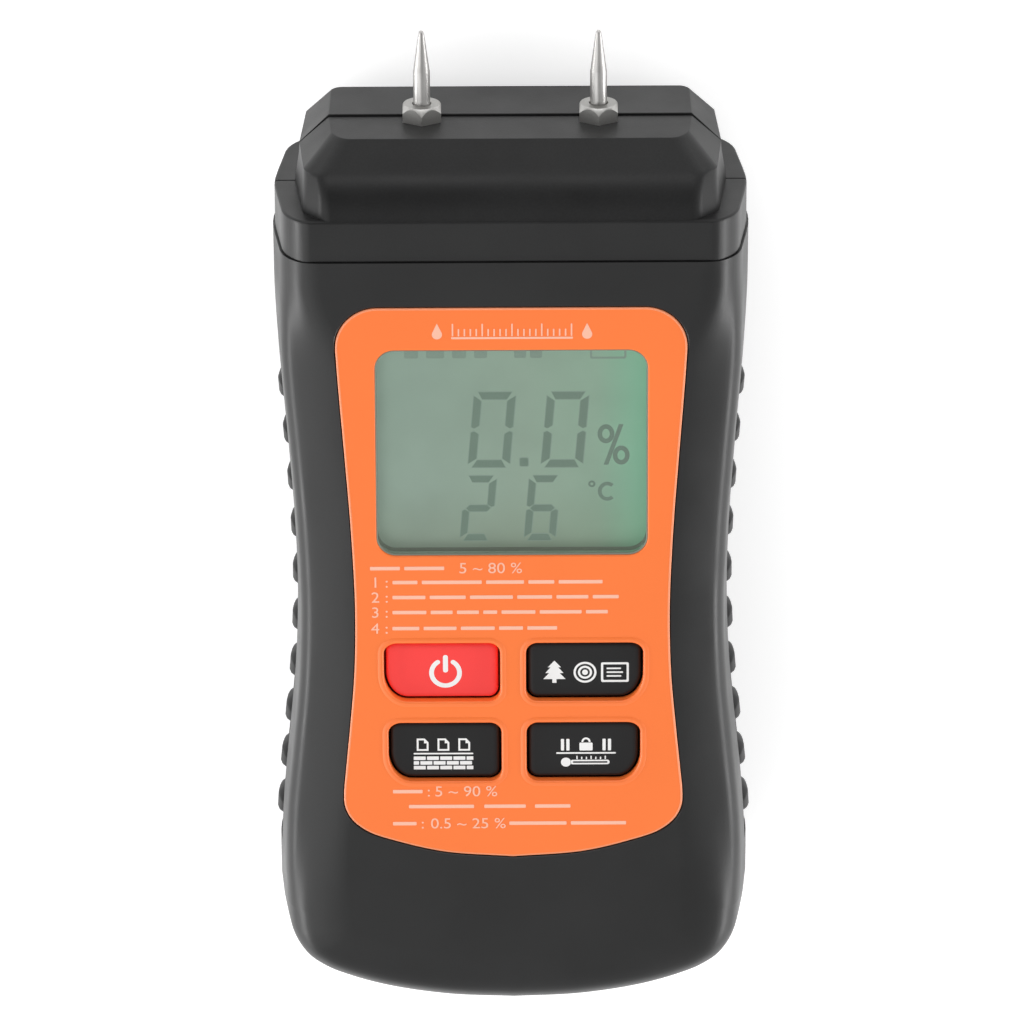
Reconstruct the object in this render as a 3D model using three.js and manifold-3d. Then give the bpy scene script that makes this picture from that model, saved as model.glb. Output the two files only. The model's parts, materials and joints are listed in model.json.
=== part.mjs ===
// Pin-type moisture meter, lying on its back. Millimetres, +Z out of the display, +Y towards the two electrode
// pins, origin under the middle of the bounding box on the surface that the meter lies on.
import * as THREE from "three";
import { mergeVertices } from "three/addons/utils/BufferGeometryUtils.js";
import Module from "manifold-3d";

const wasm = await Module();
wasm.setup();

// ---------------------------------------------------------------- driving dimensions
const Z_SPLIT = 17.5; // parting plane between the two shells
const Z_FRONT = 34.0; // front face of the body
const SPLIT_GAP = 0.05; // each shell stops this far short of the parting plane
const Y_TIP = 73.9; // tips of the electrode pins
const Y_BOTTOM = -73.9; // lowest point of the rounded bottom end
const Y_HEAD = 60.9; // end face of the head block
const Y_BEVEL = 57.2; // foot of the head block's bevels
const Y_SHOULDER = 51.25; // shoulder that the head block stands on
const Y_LEDGE = 45.05; // step between neck band and body
const NECK_INSET = 0.3; // the neck band is set in by this much
const WALL = 2.2;
const Z_CEILING = 30.6; // inside of the front wall

const PIN_X = 12.5; // half of the 25 mm pin spacing
const PIN_Z = 18.5;
const PIN_R = 1.155;
const HEX_AF = 5.5; // hexagon across flats
const Y_HEX_TOP = 63.25;
const Y_CONE = 67.8;

const PLATE_TOP = 33.95; // faceplate
const PLATE_BOTTOM = 32.65;
const RECESS_Z = 32.6;
const PLATE_GAP = 0.25;
const WINDOW = { w: 38.7, h: 31.7, r: 2.8, y: 15.85 };
const KEY_TOP = 33.25;
const KEY_TRAVEL = 0.8;
const KEY_GAP = 0.3;

const PCB = { x: 22.5, y0: -44.5, y1: 41.6, z0: 23.6, z1: 25.2 };

const RIB_Y0 = 19.98; // first grip rib, and the pitch down the side
const RIB_PITCH = 7.33;
const RIBS = 10;
const RIB_PROUD = 0.55;
const RIB_HALF = 2.05;

const DOOR = { x: 16.0, y0: -65.7, y1: -5.3, z0: 0.3, z1: 2.1, gap: 0.35 };
const BAY = { x: 14.5, y0: -64.8, y1: -8.2, z1: 20.4 };

// Half of the body's outline at the parting plane, from the ledge down to the middle of the bottom end.
const BODY_HALF = [
  [33.85, 45.05], [33.76, 36.0], [33.16, 24.9], [32.3, 13.8], [31.45, 0.6], [31.18, -10.2], [31.6, -21.4],
  [32.5, -31.2], [33.5, -41.2], [34.1, -50.5], [34.12, -57.0], [33.4, -62.3], [31.3, -66.2], [28.2, -68.6],
  [24.3, -70.3], [18.3, -72.05], [9.5, -73.45], [0, Y_BOTTOM],
];
// Height above the parting plane against how far the wall has drawn in.
const FRONT_PROFILE = [[0, 0], [4.5, 0.35], [11.4, 1.25], [13.9, 2.2], [15.7, 3.9], [16.5, 6.6]];
const REAR_PROFILE = [[0, 0], [4.5, 0.35], [12.2, 1.25], [14.8, 2.2], [16.7, 3.9], [17.5, 6.6]];

// Half of the faceplate's outline below its top corners.
const PLATE_HALF = [
  [24.87, 31.8], [24.5, 26.0], [23.7, 14.9], [22.95, 3.7], [22.5, -8.4], [22.72, -18.4], [23.4, -26.6],
  [24.12, -34.0], [24.42, -37.4], [24.3, -39.6], [23.3, -41.7], [21.0, -43.6], [17.0, -45.1], [10.0, -46.85], [0, -47.67],
];
const PLATE_TOP_Y = 38.17;
const PLATE_CORNER = 6.0;

// Keys: middle, size and how much the outer side leans in.
const KEYS = {
  power_key: { x0: -18.5, x1: -1.8, y0: -22.85, y1: -13.65, side: -1 },
  wood_key: { x0: 1.9, x1: 18.75, y0: -22.85, y1: -13.65, side: 1 },
  paper_wall_key: { x0: -17.95, x1: -1.65, y0: -35.55, y1: -26.23, side: -1 },
  hold_key: { x0: 1.95, x1: 18.35, y0: -35.55, y1: -26.23, side: 1 },
};

// ---------------------------------------------------------------- helpers
const V2 = (x, y) => new THREE.Vector2(x, y);

function toSolid(geometry) {
  let g = geometry.clone();
  g.deleteAttribute("normal");
  g.deleteAttribute("uv");
  g = mergeVertices(g.index ? g.toNonIndexed() : g, 1e-4);
  return new wasm.Manifold(
    new wasm.Mesh({
      numProp: 3,
      vertProperties: new Float32Array(g.attributes.position.array),
      triVerts: new Uint32Array(g.index.array),
    }),
  );
}
function toGeometry(solid) {
  const m = solid.getMesh();
  const v = new Float32Array(m.numVert * 3);
  for (let i = 0; i < m.numVert; i++) v.set(m.vertProperties.subarray(i * m.numProp, i * m.numProp + 3), i * 3);
  const g = new THREE.BufferGeometry();
  g.setAttribute("position", new THREE.BufferAttribute(v, 3));
  g.setIndex(new THREE.BufferAttribute(new Uint32Array(m.triVerts), 1));
  g.computeVertexNormals();
  return g;
}
const union = (...s) => s.flat(Infinity).reduce((a, b) => a.add(b));
const cut = (a, ...s) => s.flat(Infinity).reduce((x, y) => x.subtract(y), a);

// A prism of an outline in the XY plane, from z0 to z1.
function prism(points, z0, z1) {
  const g = new THREE.ExtrudeGeometry(new THREE.Shape(points), { depth: z1 - z0, bevelEnabled: false, steps: 1 });
  g.translate(0, 0, z0);
  return toSolid(g);
}
function box(x0, x1, y0, y1, z0, z1) {
  const g = new THREE.BoxGeometry(x1 - x0, y1 - y0, z1 - z0);
  g.translate((x0 + x1) / 2, (y0 + y1) / 2, (z0 + z1) / 2);
  return toSolid(g);
}
function rod(x, y, z0, z1, r, sides = 20) {
  const g = new THREE.CylinderGeometry(r, r, z1 - z0, sides);
  g.rotateX(Math.PI / 2);
  g.translate(x, y, (z0 + z1) / 2);
  return toSolid(g);
}
// A cylinder along Y.
function rodY(x, z, y0, y1, r, sides = 20, turn = 0) {
  const g = new THREE.CylinderGeometry(r, r, y1 - y0, sides);
  g.rotateY(turn);
  g.translate(x, (y0 + y1) / 2, z);
  return toSolid(g);
}
// A lathed solid about an axis along Y: profile is [radius, y], starting and ending on the axis.
function turned(profile, x, z, sides = 20) {
  const g = new THREE.LatheGeometry(profile.map(([r, y]) => V2(r, y)), sides);
  g.translate(x, 0, z);
  let s = toSolid(g);
  if (s.volume() < 0) {
    const gi = new THREE.LatheGeometry([...profile].reverse().map(([r, y]) => V2(r, y)), sides);
    gi.translate(x, 0, z);
    s = toSolid(gi);
  }
  return s;
}
function roundRect(w, h, r, cx = 0, cy = 0, seg = 4) {
  const p = [];
  for (const [sx, sy, a0] of [[1, 1, 0], [-1, 1, 90], [-1, -1, 180], [1, -1, 270]])
    for (let i = 0; i <= seg; i++) {
      const a = ((a0 + (90 * i) / seg) * Math.PI) / 180;
      p.push(V2(cx + sx * (w / 2 - r) + r * Math.cos(a), cy + sy * (h / 2 - r) + r * Math.sin(a)));
    }
  return p;
}
// A closed solid through a stack of outlines with equal point counts: rings[i] = {z, points}.
function stack(given) {
  let rings = given[0].z < given[given.length - 1].z ? given : [...given].reverse();
  if (THREE.ShapeUtils.area(rings[0].points) < 0) rings = rings.map((r) => ({ z: r.z, points: [...r.points].reverse() }));
  const n = rings[0].points.length;
  const pos = [];
  for (const r of rings) for (const p of r.points) pos.push(p.x, p.y, r.z);
  const idx = [];
  for (let k = 0; k + 1 < rings.length; k++)
    for (let i = 0; i < n; i++) {
      const a = k * n + i, b = k * n + ((i + 1) % n), c = a + n, d = b + n;
      idx.push(a, b, d, a, d, c);
    }
  const cap = (ring, base, up) => {
    for (const [a, b, c] of THREE.ShapeUtils.triangulateShape(ring.points, []))
      up ? idx.push(base + a, base + b, base + c) : idx.push(base + a, base + c, base + b);
  };
  cap(rings[0], 0, false);
  cap(rings[rings.length - 1], n * (rings.length - 1), true);
  const g = new THREE.BufferGeometry();
  g.setAttribute("position", new THREE.Float32BufferAttribute(pos, 3));
  g.setIndex(idx);
  return toSolid(g);
}
// The same, stacked along Y: rings[i] = {y, points} with points (x, z).
function stackY(rings) {
  const made = stack(rings.map(({ y, points }) => ({ z: y, points: points.map((p) => V2(p.x, -p.y)) })));
  return made.rotate([-90, 0, 0]);
}
function spline(points, count) {
  return new THREE.CatmullRomCurve3(points.map(([x, y]) => new THREE.Vector3(x, y, 0)), false, "centripetal")
    .getSpacedPoints(count)
    .map((p) => V2(p.x, p.y));
}
// Right half (top to bottom) mirrored into an open run: left top, down, round the bottom, right top.
function mirrored(half) {
  const left = half.map((p) => V2(-p.x, p.y));
  return [...left, ...[...half].reverse().slice(1)];
}
function inward(run, d, closed = false) {
  const n = run.length;
  return run.map((p, i) => {
    const a = run[closed ? (i + n - 1) % n : Math.max(0, i - 1)];
    const b = run[closed ? (i + 1) % n : Math.min(n - 1, i + 1)];
    const t = b.clone().sub(a).normalize();
    return V2(p.x - t.y * d, p.y + t.x * d); // the run is counter-clockwise, so its left is inside
  });
}
const BODY_RUN = mirrored(
  [...spline(BODY_HALF.slice(0, 11), 9), ...spline(BODY_HALF.slice(10), 11).slice(1)],
);
// The body's outline drawn in by d, closed straight across at y.
function bodyRing(d, y = Y_LEDGE) {
  const run = inward(BODY_RUN, d);
  const last = run.length - 1;
  run[0] = V2(run[0].x, y);
  run[last] = V2(run[last].x, y);
  return run;
}
function bodyHalf(profile, sign, extra = 0, y = Y_LEDGE, stop = 99) {
  return stack(
    profile.filter(([h]) => h <= stop).map(([h, d]) => ({ z: Z_SPLIT + sign * h, points: bodyRing(d + extra, y) })),
  );
}
// Half of a section across the body, as (x, z) points, from one side over the top to the other.
function section(w, profile, sign, flat = 0) {
  const right = profile.map(([h, d]) => V2(w - d, Z_SPLIT + sign * Math.max(h, flat)));
  const left = [...right].reverse().map((p) => V2(-p.x, p.y));
  return [...right, ...left];
}
// The head block's section at one height: half width, height above the parting plane, corner radius.
function headSection(w, h, r, sign, base) {
  const p = [V2(w + 0.12, Z_SPLIT + sign * base)];
  for (let i = 0; i <= 4; i++) {
    const a = (i / 4) * (Math.PI / 2);
    p.push(V2(w - r + r * Math.cos(a), Z_SPLIT + sign * (h - r + r * Math.sin(a))));
  }
  return [...p, ...[...p].reverse().map((q) => V2(-q.x, q.y))];
}
function head(sign, h0, h1, h2) {
  const y0 = Y_SHOULDER - 2;
  return stackY([
    { y: y0, points: headSection(30.7, h0, 5.2, sign, SPLIT_GAP) },
    { y: Y_SHOULDER, points: headSection(30.6, h0, 5.2, sign, SPLIT_GAP) },
    { y: Y_BEVEL, points: headSection(29.9, h1, 4.4, sign, SPLIT_GAP) },
    { y: Y_HEAD, points: headSection(25.8, h2, 1.6, sign, SPLIT_GAP) },
  ]);
}
const plateRing = (d) => {
  const c = [];
  for (let i = 0; i < 5; i++) {
    const a = ((90 - 90 * (i / 5)) * Math.PI) / 180;
    c.push([24.87 - PLATE_CORNER + PLATE_CORNER * Math.cos(a), PLATE_TOP_Y - PLATE_CORNER + PLATE_CORNER * Math.sin(a)]);
  }
  const half = [...c.map(([x, y]) => V2(x, y)), ...spline(PLATE_HALF, 26)];
  const run = mirrored(half);
  return inward(run, d, true);
};
// A key's outline: three tight corners, and one wide corner at the lower outer side.
function keyRing(k, grow) {
  const w = k.x1 - k.x0, h = k.y1 - k.y0;
  const p = [];
  const corner = (x, y, rx, ry, a0) => {
    for (let i = 0; i <= 3; i++) {
      const a = ((a0 + 30 * i) * Math.PI) / 180;
      p.push(V2(x + rx * Math.cos(a), y + ry * Math.sin(a)));
    }
  };
  const g = grow;
  // drawn for the right-hand key (outer side at +x), counter-clockwise
  corner(w / 2 - 1.9, h / 2 - 1.6, 1.9 + g, 1.6 + g, 0);
  corner(-w / 2 + 1.7, h / 2 - 1.6, 1.7 + g, 1.6 + g, 90);
  corner(-w / 2 + 1.7, -h / 2 + 1.7, 1.7 + g, 1.7 + g, 180);
  corner(w / 2 - 3.4, -h / 2 + 4.3, 3.4 + g, 4.3 + g, 270);
  const cx = (k.x0 + k.x1) / 2, cy = (k.y0 + k.y1) / 2;
  const q = p.map((v) => V2(cx + k.side * v.x, cy + v.y));
  return k.side > 0 ? q : q.reverse();
}

// ---------------------------------------------------------------- materials
const std = (name, color, roughness, metalness = 0, more = {}) =>
  new THREE.MeshStandardMaterial({ name, color, roughness, metalness, ...more });
const M = {
  shell: std("shell", 0x37383a, 0.52),
  grip: std("grip", 0x2a2b2c, 0.75),
  plate: std("plate", 0xff7a2e, 0.42),
  lens: std("lens", 0xdfe8e2, 0.08, 0, { transparent: true, opacity: 0.35 }),
  red: std("red_key", 0xf0302f, 0.6),
  black: std("black_key", 0x2c2c2d, 0.6),
  steel: std("steel", 0xc9c8c3, 0.28, 1),
  brass: std("brass", 0xb99347, 0.35, 1),
  zinc: std("zinc", 0xa9acae, 0.4, 1),
  board: std("board", 0x1f6b3a, 0.55),
  lcd: std("lcd", 0x93a696, 0.3),
  white: std("white_plastic", 0xe6e6e0, 0.5),
  silicone: std("silicone", 0x3a3b3d, 0.8),
  carbon: std("carbon", 0x151515, 0.7),
  chip: std("chip", 0x1a1a1b, 0.5),
  cell: std("cell", 0x31506e, 0.35, 0.3),
  red_wire: std("red_wire", 0xb8201c, 0.5),
  black_wire: std("black_wire", 0x1c1c1d, 0.5),
};
const meter = new THREE.Group();
meter.name = "moisture_meter";
function add(name, solid, material) {
  const mesh = new THREE.Mesh(toGeometry(solid), material);
  mesh.name = name;
  meter.add(mesh);
  return mesh;
}

// ---------------------------------------------------------------- fastener places
const SHELL_SCREWS = [[-23, 46.3], [23, 46.3], [-22.5, -57.5], [22.5, -57.5]];
const BOARD_SCREWS = [[-19.6, 39.1], [19.6, 39.1], [-19.6, -41.2], [19.6, -41.2]];
const SEAT_Z = 10.0; // the shell screws' heads bear here

// The slot for a side grip: the strip follows the outline between two heights and two stations.
const GRIP = { z0: 11.5, z1: 21.5, y0: -50.6, y1: 24.2, deep: 1.6 };
function gripPath(side, d, y0, y1, count) {
  const run = inward(mirrored(spline(BODY_HALF, 160)), d).filter((p) => side * p.x > 20);
  const at = (y) => {
    for (let i = 0; i + 1 < run.length; i++) {
      const a = run[i], b = run[i + 1];
      if ((a.y - y) * (b.y - y) <= 0 && a.y !== b.y) return V2(a.x + ((b.x - a.x) * (y - a.y)) / (b.y - a.y), y);
    }
    throw new Error("no outline at " + y);
  };
  return Array.from({ length: count + 1 }, (_, i) => at(y0 + ((y1 - y0) * i) / count));
}
const draftAt = (z) => (Math.abs(z - Z_SPLIT) * 0.35) / 4.5;
function gripStrip(side, y0, y1, z0, z1, outer, deep, count = 10) {
  const ring = (z) => [
    ...gripPath(side, draftAt(z) - outer, y0, y1, count),
    ...gripPath(side, deep, y0, y1, count).reverse(),
  ];
  return stack([z0, Z_SPLIT, z1].map((z) => ({ z, points: ring(z) })));
}
function gripRib(side, y) {
  const n = 4;
  const path = gripPath(side, 0, y - RIB_HALF, y + RIB_HALF, n);
  const back = gripPath(side, 1.0, y - RIB_HALF, y + RIB_HALF, 1).reverse();
  const at = (z, proud) => {
    const d = draftAt(z);
    return {
      z,
      points: [...path.map((p, i) => V2(p.x + side * (proud * Math.sin((i / n) * Math.PI) ** 0.7 - d), p.y)), ...back],
    };
  };
  return stack([at(GRIP.z0 + 0.8, 0.02), at(GRIP.z0 + 2, RIB_PROUD), at(GRIP.z1 - 1.9, RIB_PROUD), at(GRIP.z1 - 0.8, 0.02)]);
}
const gripSlots = [-1, 1].map((s) =>
  gripStrip(s, GRIP.y0 - 0.15, GRIP.y1 + 0.15, GRIP.z0 - 0.15, GRIP.z1 + 0.15, 1.5, GRIP.deep + 0.15),
);

// ---------------------------------------------------------------- front shell
{
  const body = bodyHalf([[SPLIT_GAP, 0], ...FRONT_PROFILE.slice(1)], 1);
  const neck = stackY(
    [Y_LEDGE - 1, Y_SHOULDER].map((y) => ({
      y,
      points: section(33.85 - NECK_INSET, [[SPLIT_GAP, 0], ...FRONT_PROFILE.slice(1)].map(([h, d]) => [Math.min(h, 16.2), d]), 1),
    })),
  );
  const outer = union(body, neck, head(1, 16.0, 14.0, 9.1));
  const hollow = stack(
    [[-1, 0], [5, 0.4], [11.3, 1.3], [Z_CEILING - Z_SPLIT, 4.2]].map(([h, d]) => ({
      z: Z_SPLIT + h, points: bodyRing(d + WALL, 44.0),
    })),
  );
  const headHollow = box(-27.1, 27.1, 43, 57.0, 16, 29.6);
  const bosses = [
    ...SHELL_SCREWS.map(([x, y]) => rod(x, y, Z_SPLIT + SPLIT_GAP, 31.2, 3.5, 12)),
    ...BOARD_SCREWS.map(([x, y]) => rod(x, y, PCB.z1 + 0.1, 31.2, 2.3, 10)),
  ];
  const saddles = [-1, 1].map((s) => box(s * PIN_X - 5.6, s * PIN_X + 5.6, 52.6, 57.2, Z_SPLIT + SPLIT_GAP, 30));
  let shell = union(cut(outer, hollow, headHollow), bosses, saddles);
  shell = cut(
    shell,
    gripSlots,
    prism(plateRing(-PLATE_GAP), RECESS_Z, 36),
    prism(roundRect(43.0, 35.8, 2.5, 0, WINDOW.y), 31.55, 36),
    prism(roundRect(39.8, 32.6, 3.2, 0, WINDOW.y), 29, 36),
    Object.values(KEYS).map((k) => prism(keyRing(k, 0.1), 29, 36)),
    SHELL_SCREWS.map(([x, y]) => rod(x, y, 16, 27.0, 1.35, 8)),
    BOARD_SCREWS.map(([x, y]) => rod(x, y, 24, 29.6, 1.05, 8)),
    [-1, 1].map((s) => [
      rodY(s * PIN_X, PIN_Z, 52, 62, 3.35, 14),
      rodY(s * PIN_X, PIN_Z, 54.6, 56.4, 4.8, 14),
    ]),
  );
  add("front_shell", shell, M.shell);
}

// ---------------------------------------------------------------- rear shell
{
  const body = bodyHalf([[SPLIT_GAP, 0], ...REAR_PROFILE.slice(1)], -1);
  const neck = stackY(
    [Y_LEDGE - 1, Y_SHOULDER].map((y) => ({
      y,
      points: section(33.85 - NECK_INSET, [[SPLIT_GAP, 0], ...REAR_PROFILE.slice(1)].map(([h, d]) => [Math.min(h, 17.2), d]), -1),
    })),
  );
  const outer = union(body, neck, head(-1, 16.2, 15.4, 11.4));
  const hollow = stack(
    [[-0.9, 0], [5, 0.4], [12.2, 1.3], [Z_SPLIT - WALL, 4.2]].map(([h, d]) => ({
      z: Z_SPLIT - h, points: bodyRing(d + WALL, 44.0),
    })),
  );
  const headHollow = box(-27.1, 27.1, 43, 57.0, 4.6, 19);
  const bosses = SHELL_SCREWS.map(([x, y]) => rod(x, y, 1.5, Z_SPLIT - SPLIT_GAP, 4.4, 12));
  const saddles = [-1, 1].map((s) => box(s * PIN_X - 5.6, s * PIN_X + 5.6, 52.6, 57.2, 4, Z_SPLIT - SPLIT_GAP));
  const bay = union(
    box(-18.2, 18.2, -68.2, -2.8, 1.0, 4.2),
    box(-BAY.x - 1.7, BAY.x + 1.7, BAY.y0 - 1.7, BAY.y1 + 1.7, 1.0, BAY.z1 + 1.4),
  );
  let shell = union(cut(outer, hollow, headHollow), bosses, saddles, bay);
  shell = cut(
    shell,
    gripSlots,
    box(-BAY.x, BAY.x, BAY.y0, BAY.y1, -1, BAY.z1),
    prism(roundRect(2 * (DOOR.x + DOOR.gap), DOOR.y1 - DOOR.y0 + 2 * DOOR.gap, 2.6, 0, (DOOR.y0 + DOOR.y1) / 2), -1, 2.2),
    [-1, 1].map((s) => box(s * 9 - 3.0, s * 9 + 3.0, -68.0, -64.5, 2.0, 6.2)),
    box(-6.4, 6.4, -10.7, BAY.y1, 19, 23),
    SHELL_SCREWS.map(([x, y]) => rod(x, y, -1, SEAT_Z, 3.2, 14)),
    SHELL_SCREWS.map(([x, y]) => rod(x, y, -1, 19, 1.8, 8)),
    prism(roundRect(40, 26, 2, 0, 18), -1, 0.35),
    [-1, 1].map((s) => [
      rodY(s * PIN_X, PIN_Z, 52, 62, 3.35, 14),
      rodY(s * PIN_X, PIN_Z, 54.6, 56.4, 4.8, 14),
    ]),
  );
  add("rear_shell", shell, M.shell);
}

// ---------------------------------------------------------------- side grips
for (const [name, s] of [["left_grip", -1], ["right_grip", 1]]) {
  const ribs = Array.from({ length: RIBS }, (_, i) => gripRib(s, RIB_Y0 - i * RIB_PITCH));
  add(name, union(gripStrip(s, GRIP.y0, GRIP.y1, GRIP.z0, GRIP.z1, 0, GRIP.deep), ribs), M.grip);
}

// ---------------------------------------------------------------- faceplate and lens
add(
  "faceplate",
  cut(
    prism(plateRing(0), PLATE_BOTTOM, PLATE_TOP),
    prism(roundRect(WINDOW.w, WINDOW.h, WINDOW.r, 0, WINDOW.y), 30, 36),
    Object.values(KEYS).map((k) => prism(keyRing(k, 0), 30, 36)),
  ),
  M.plate,
);
add(
  "display_lens",
  union(
    prism(roundRect(42.4, 35.2, 2.3, 0, WINDOW.y), 31.6, 32.6),
    prism(roundRect(WINDOW.w - 0.3, WINDOW.h - 0.3, WINDOW.r - 0.15, 0, WINDOW.y), 32.2, 33.88),
  ),
  M.lens,
);

// ---------------------------------------------------------------- keypad
for (const [name, k] of Object.entries(KEYS)) {
  const cx = (k.x0 + k.x1) / 2, cy = (k.y0 + k.y1) / 2;
  const cap = stack([
    { z: 29.3, points: keyRing(k, -KEY_GAP) },
    { z: 33.0, points: keyRing(k, -KEY_GAP) },
    { z: KEY_TOP, points: keyRing(k, -KEY_GAP - 0.25) },
  ]);
  const flange = prism(keyRing(k, 0.85), 29.2, 30.3);
  const stem = prism(roundRect(9, 5.4, 1.2, cx, cy, 3), 27.3, 29.6);
  add(name, union(cap, flange, stem), name === "power_key" ? M.red : M.black);
  add(name + "_contact", rod(cx, cy, 26.35, 27.2, 2.4, 14), M.carbon);
}
add(
  "keypad_mat",
  cut(
    prism(roundRect(41.5, 25.6, 2, 0, -24.45), PCB.z1 + 0.1, 26.3),
    Object.values(KEYS).map((k) => prism(roundRect(9.8, 6.6, 1.5, (k.x0 + k.x1) / 2, (k.y0 + k.y1) / 2, 3), 24, 28)),
  ),
  M.silicone,
);

// ---------------------------------------------------------------- circuit board and display stack
add(
  "circuit_board",
  cut(
    prism(roundRect(2 * PCB.x, PCB.y1 - PCB.y0, 2, 0, (PCB.y0 + PCB.y1) / 2), PCB.z0, PCB.z1),
    BOARD_SCREWS.map(([x, y]) => rod(x, y, 20, 28, 1.3, 12)),
  ),
  M.board,
);
add(
  "lcd_frame",
  cut(
    prism(roundRect(43.8, 41.4, 1.5, 0, 16.0), PCB.z1 + 0.1, 30.3),
    box(-21.1, 21.1, -3.9, 35.9, 26.0, 31),
    box(-19.6, 19.6, -3.5, 34.4, 25, 31),
  ),
  M.black,
);
add("lcd_backlight", box(-20.7, 20.7, -0.6, 35.5, 26.1, 27.6), M.white);
add("lcd_connector", box(-18, 18, -3.2, -1.2, PCB.z1 + 0.1, 27.6), M.silicone);
add("lcd_glass", box(-20.7, 20.7, -3.5, 35.5, 27.7, 30.0), M.lcd);
add("backlight_led", box(-1.6, 1.6, -8.6, -6.4, PCB.z1 + 0.1, 26.9), M.white);
add("controller_chip", box(-6, 6, 6, 18, PCB.z0 - 1.6, PCB.z0 - 0.1), M.chip);
add("measuring_chip", box(-3, 3, 28, 33, PCB.z0 - 1.5, PCB.z0 - 0.1), M.chip);
add("temperature_sensor", turned([[0, 40.6], [1.1, 41.1], [1.3, 42.2], [1.1, 43.2], [0, 43.7]], 0, 20.9, 12), M.chip);
add("buffer_capacitor", rodY(-13.5, 20.4, 18, 27, 2.9, 16), M.cell);

// ---------------------------------------------------------------- electrodes
for (const [name, s] of [["left", -1], ["right", 1]]) {
  const x = s * PIN_X;
  const needle = turned(
    [
      [0, 54.9], [1.42, 55.2], [1.42, 60.6], [PIN_R, 60.7], [PIN_R, Y_CONE], [1.02, Y_CONE + 1.0],
      [0.36, Y_TIP - 0.42], [0.24, Y_TIP - 0.12], [0, Y_TIP],
    ],
    x, PIN_Z, 14,
  );
  // the hexagon has a corner towards the front; its rims are turned to a shallow chamfer
  const hex = rodY(x, PIN_Z, 60.65, Y_HEX_TOP, HEX_AF / Math.sqrt(3), 6, 0).intersect(
    turned([[0, 60.6], [3.0, 60.6], [3.4, 60.95], [3.4, Y_HEX_TOP - 0.42], [2.65, Y_HEX_TOP], [0, Y_HEX_TOP]], x, PIN_Z, 18),
  );
  add(name + "_pin", union(needle, hex), M.steel);
  add(
    name + "_pin_socket",
    cut(
      turned([[0, 50.9], [2.0, 50.9], [2.0, 52.9], [3.0, 52.9], [3.0, 54.8], [4.5, 54.8], [4.5, 56.2], [3.0, 56.2], [3.0, 60.4], [0, 60.4]], x, PIN_Z, 12),
      rodY(x, PIN_Z, 54.6, 61, 1.6, 10),
    ),
    M.brass,
  );
  const path = new THREE.CatmullRomCurve3(
    [[x, 50.6, PIN_Z], [x, 48.6, PIN_Z], [x * 0.98, 46.0, 18.2], [x * 0.9, 43.2, 18.4], [x * 0.82, 40.6, 19.8], [x * 0.8, 39.4, 21.6], [x * 0.8, 39.1, 23.4]].map((p) => new THREE.Vector3(...p)),
  );
  const ring = new THREE.Shape(Array.from({ length: 8 }, (_, i) => V2(0.75 * Math.cos((i * Math.PI) / 4), 0.75 * Math.sin((i * Math.PI) / 4))));
  add(name + "_pin_lead", toSolid(new THREE.ExtrudeGeometry(ring, { steps: 12, extrudePath: path, bevelEnabled: false })), s < 0 ? M.red_wire : M.black_wire);
}

// ---------------------------------------------------------------- battery, its clip and its door
const CELL = { y0: -62.6, y1: -16.3, z0: 2.8, z1: 20.0, x: 13.1 };
{
  const zc = (CELL.z0 + CELL.z1) / 2;
  const g = new THREE.ExtrudeGeometry(new THREE.Shape(roundRect(2 * CELL.x, CELL.z1 - CELL.z0, 2.2, 0, 0, 4)), {
    depth: CELL.y1 - CELL.y0, bevelEnabled: false, steps: 1,
  });
  g.rotateX(-Math.PI / 2);
  g.translate(0, CELL.y0, zc);
  add("battery", toSolid(g), M.cell);
  add("battery_stud", rodY(-6.35, zc, CELL.y1 + 0.05, -14.3, 2.9, 16), M.zinc);
  add("battery_socket", rodY(6.35, zc, CELL.y1 + 0.05, -14.3, 4.0, 6), M.zinc);
  const c = new THREE.ExtrudeGeometry(new THREE.Shape(roundRect(24.4, 12.4, 3.2, 0, 0, 4)), { depth: 3.4, bevelEnabled: false, steps: 1 });
  c.rotateX(-Math.PI / 2);
  c.translate(0, -14.1, zc);
  add("battery_clip", toSolid(c), M.chip);
  for (const [name, s] of [["battery_lead_red", -1], ["battery_lead_black", 1]]) {
    const path = new THREE.CatmullRomCurve3(
      [[s * 4, -10.55, 13.0], [s * 4, -9.7, 13.4], [s * 4, -9.35, 15.0], [s * 4, -9.35, 19.0], [s * 4, -9.35, 23.45]].map((p) => new THREE.Vector3(...p)),
    );
    const ring = new THREE.Shape(Array.from({ length: 8 }, (_, i) => V2(0.65 * Math.cos((i * Math.PI) / 4), 0.65 * Math.sin((i * Math.PI) / 4))));
    add(name, toSolid(new THREE.ExtrudeGeometry(ring, { steps: 10, extrudePath: path, bevelEnabled: false })), s < 0 ? M.red_wire : M.black_wire);
  }
}
{
  const cy = (DOOR.y0 + DOOR.y1) / 2;
  const plate = prism(roundRect(2 * DOOR.x, DOOR.y1 - DOOR.y0, 2.3, 0, cy), DOOR.z0, DOOR.z1);
  const tongues = [-1, 1].map((s) => box(s * 9 - 2.5, s * 9 + 2.5, -67.3, -64.9, 2.0, 3.1));
  const rails = [-1, 1].map((s) => box(s * 13.9 - 0.4, s * 13.9 + 0.4, -60, -14, 2.0, 3.4));
  const catchBlock = box(-4.5, 4.5, -9.9, -8.5, 2.0, 4.4);
  const scoop = rod(0, -9.6, -1, 0.95, 4.2, 24);
  const grooves = [0, 1, 2, 3].map((i) => box(-7, 7, -19.2 - 2 * i, -18.4 - 2 * i, -1, 0.75));
  add("battery_door", cut(union(plate, tongues, rails, catchBlock), scoop, grooves), M.shell);
  add("battery_pad", box(-9, 9, -54, -24, 2.15, 2.7), M.silicone);
}

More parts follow.
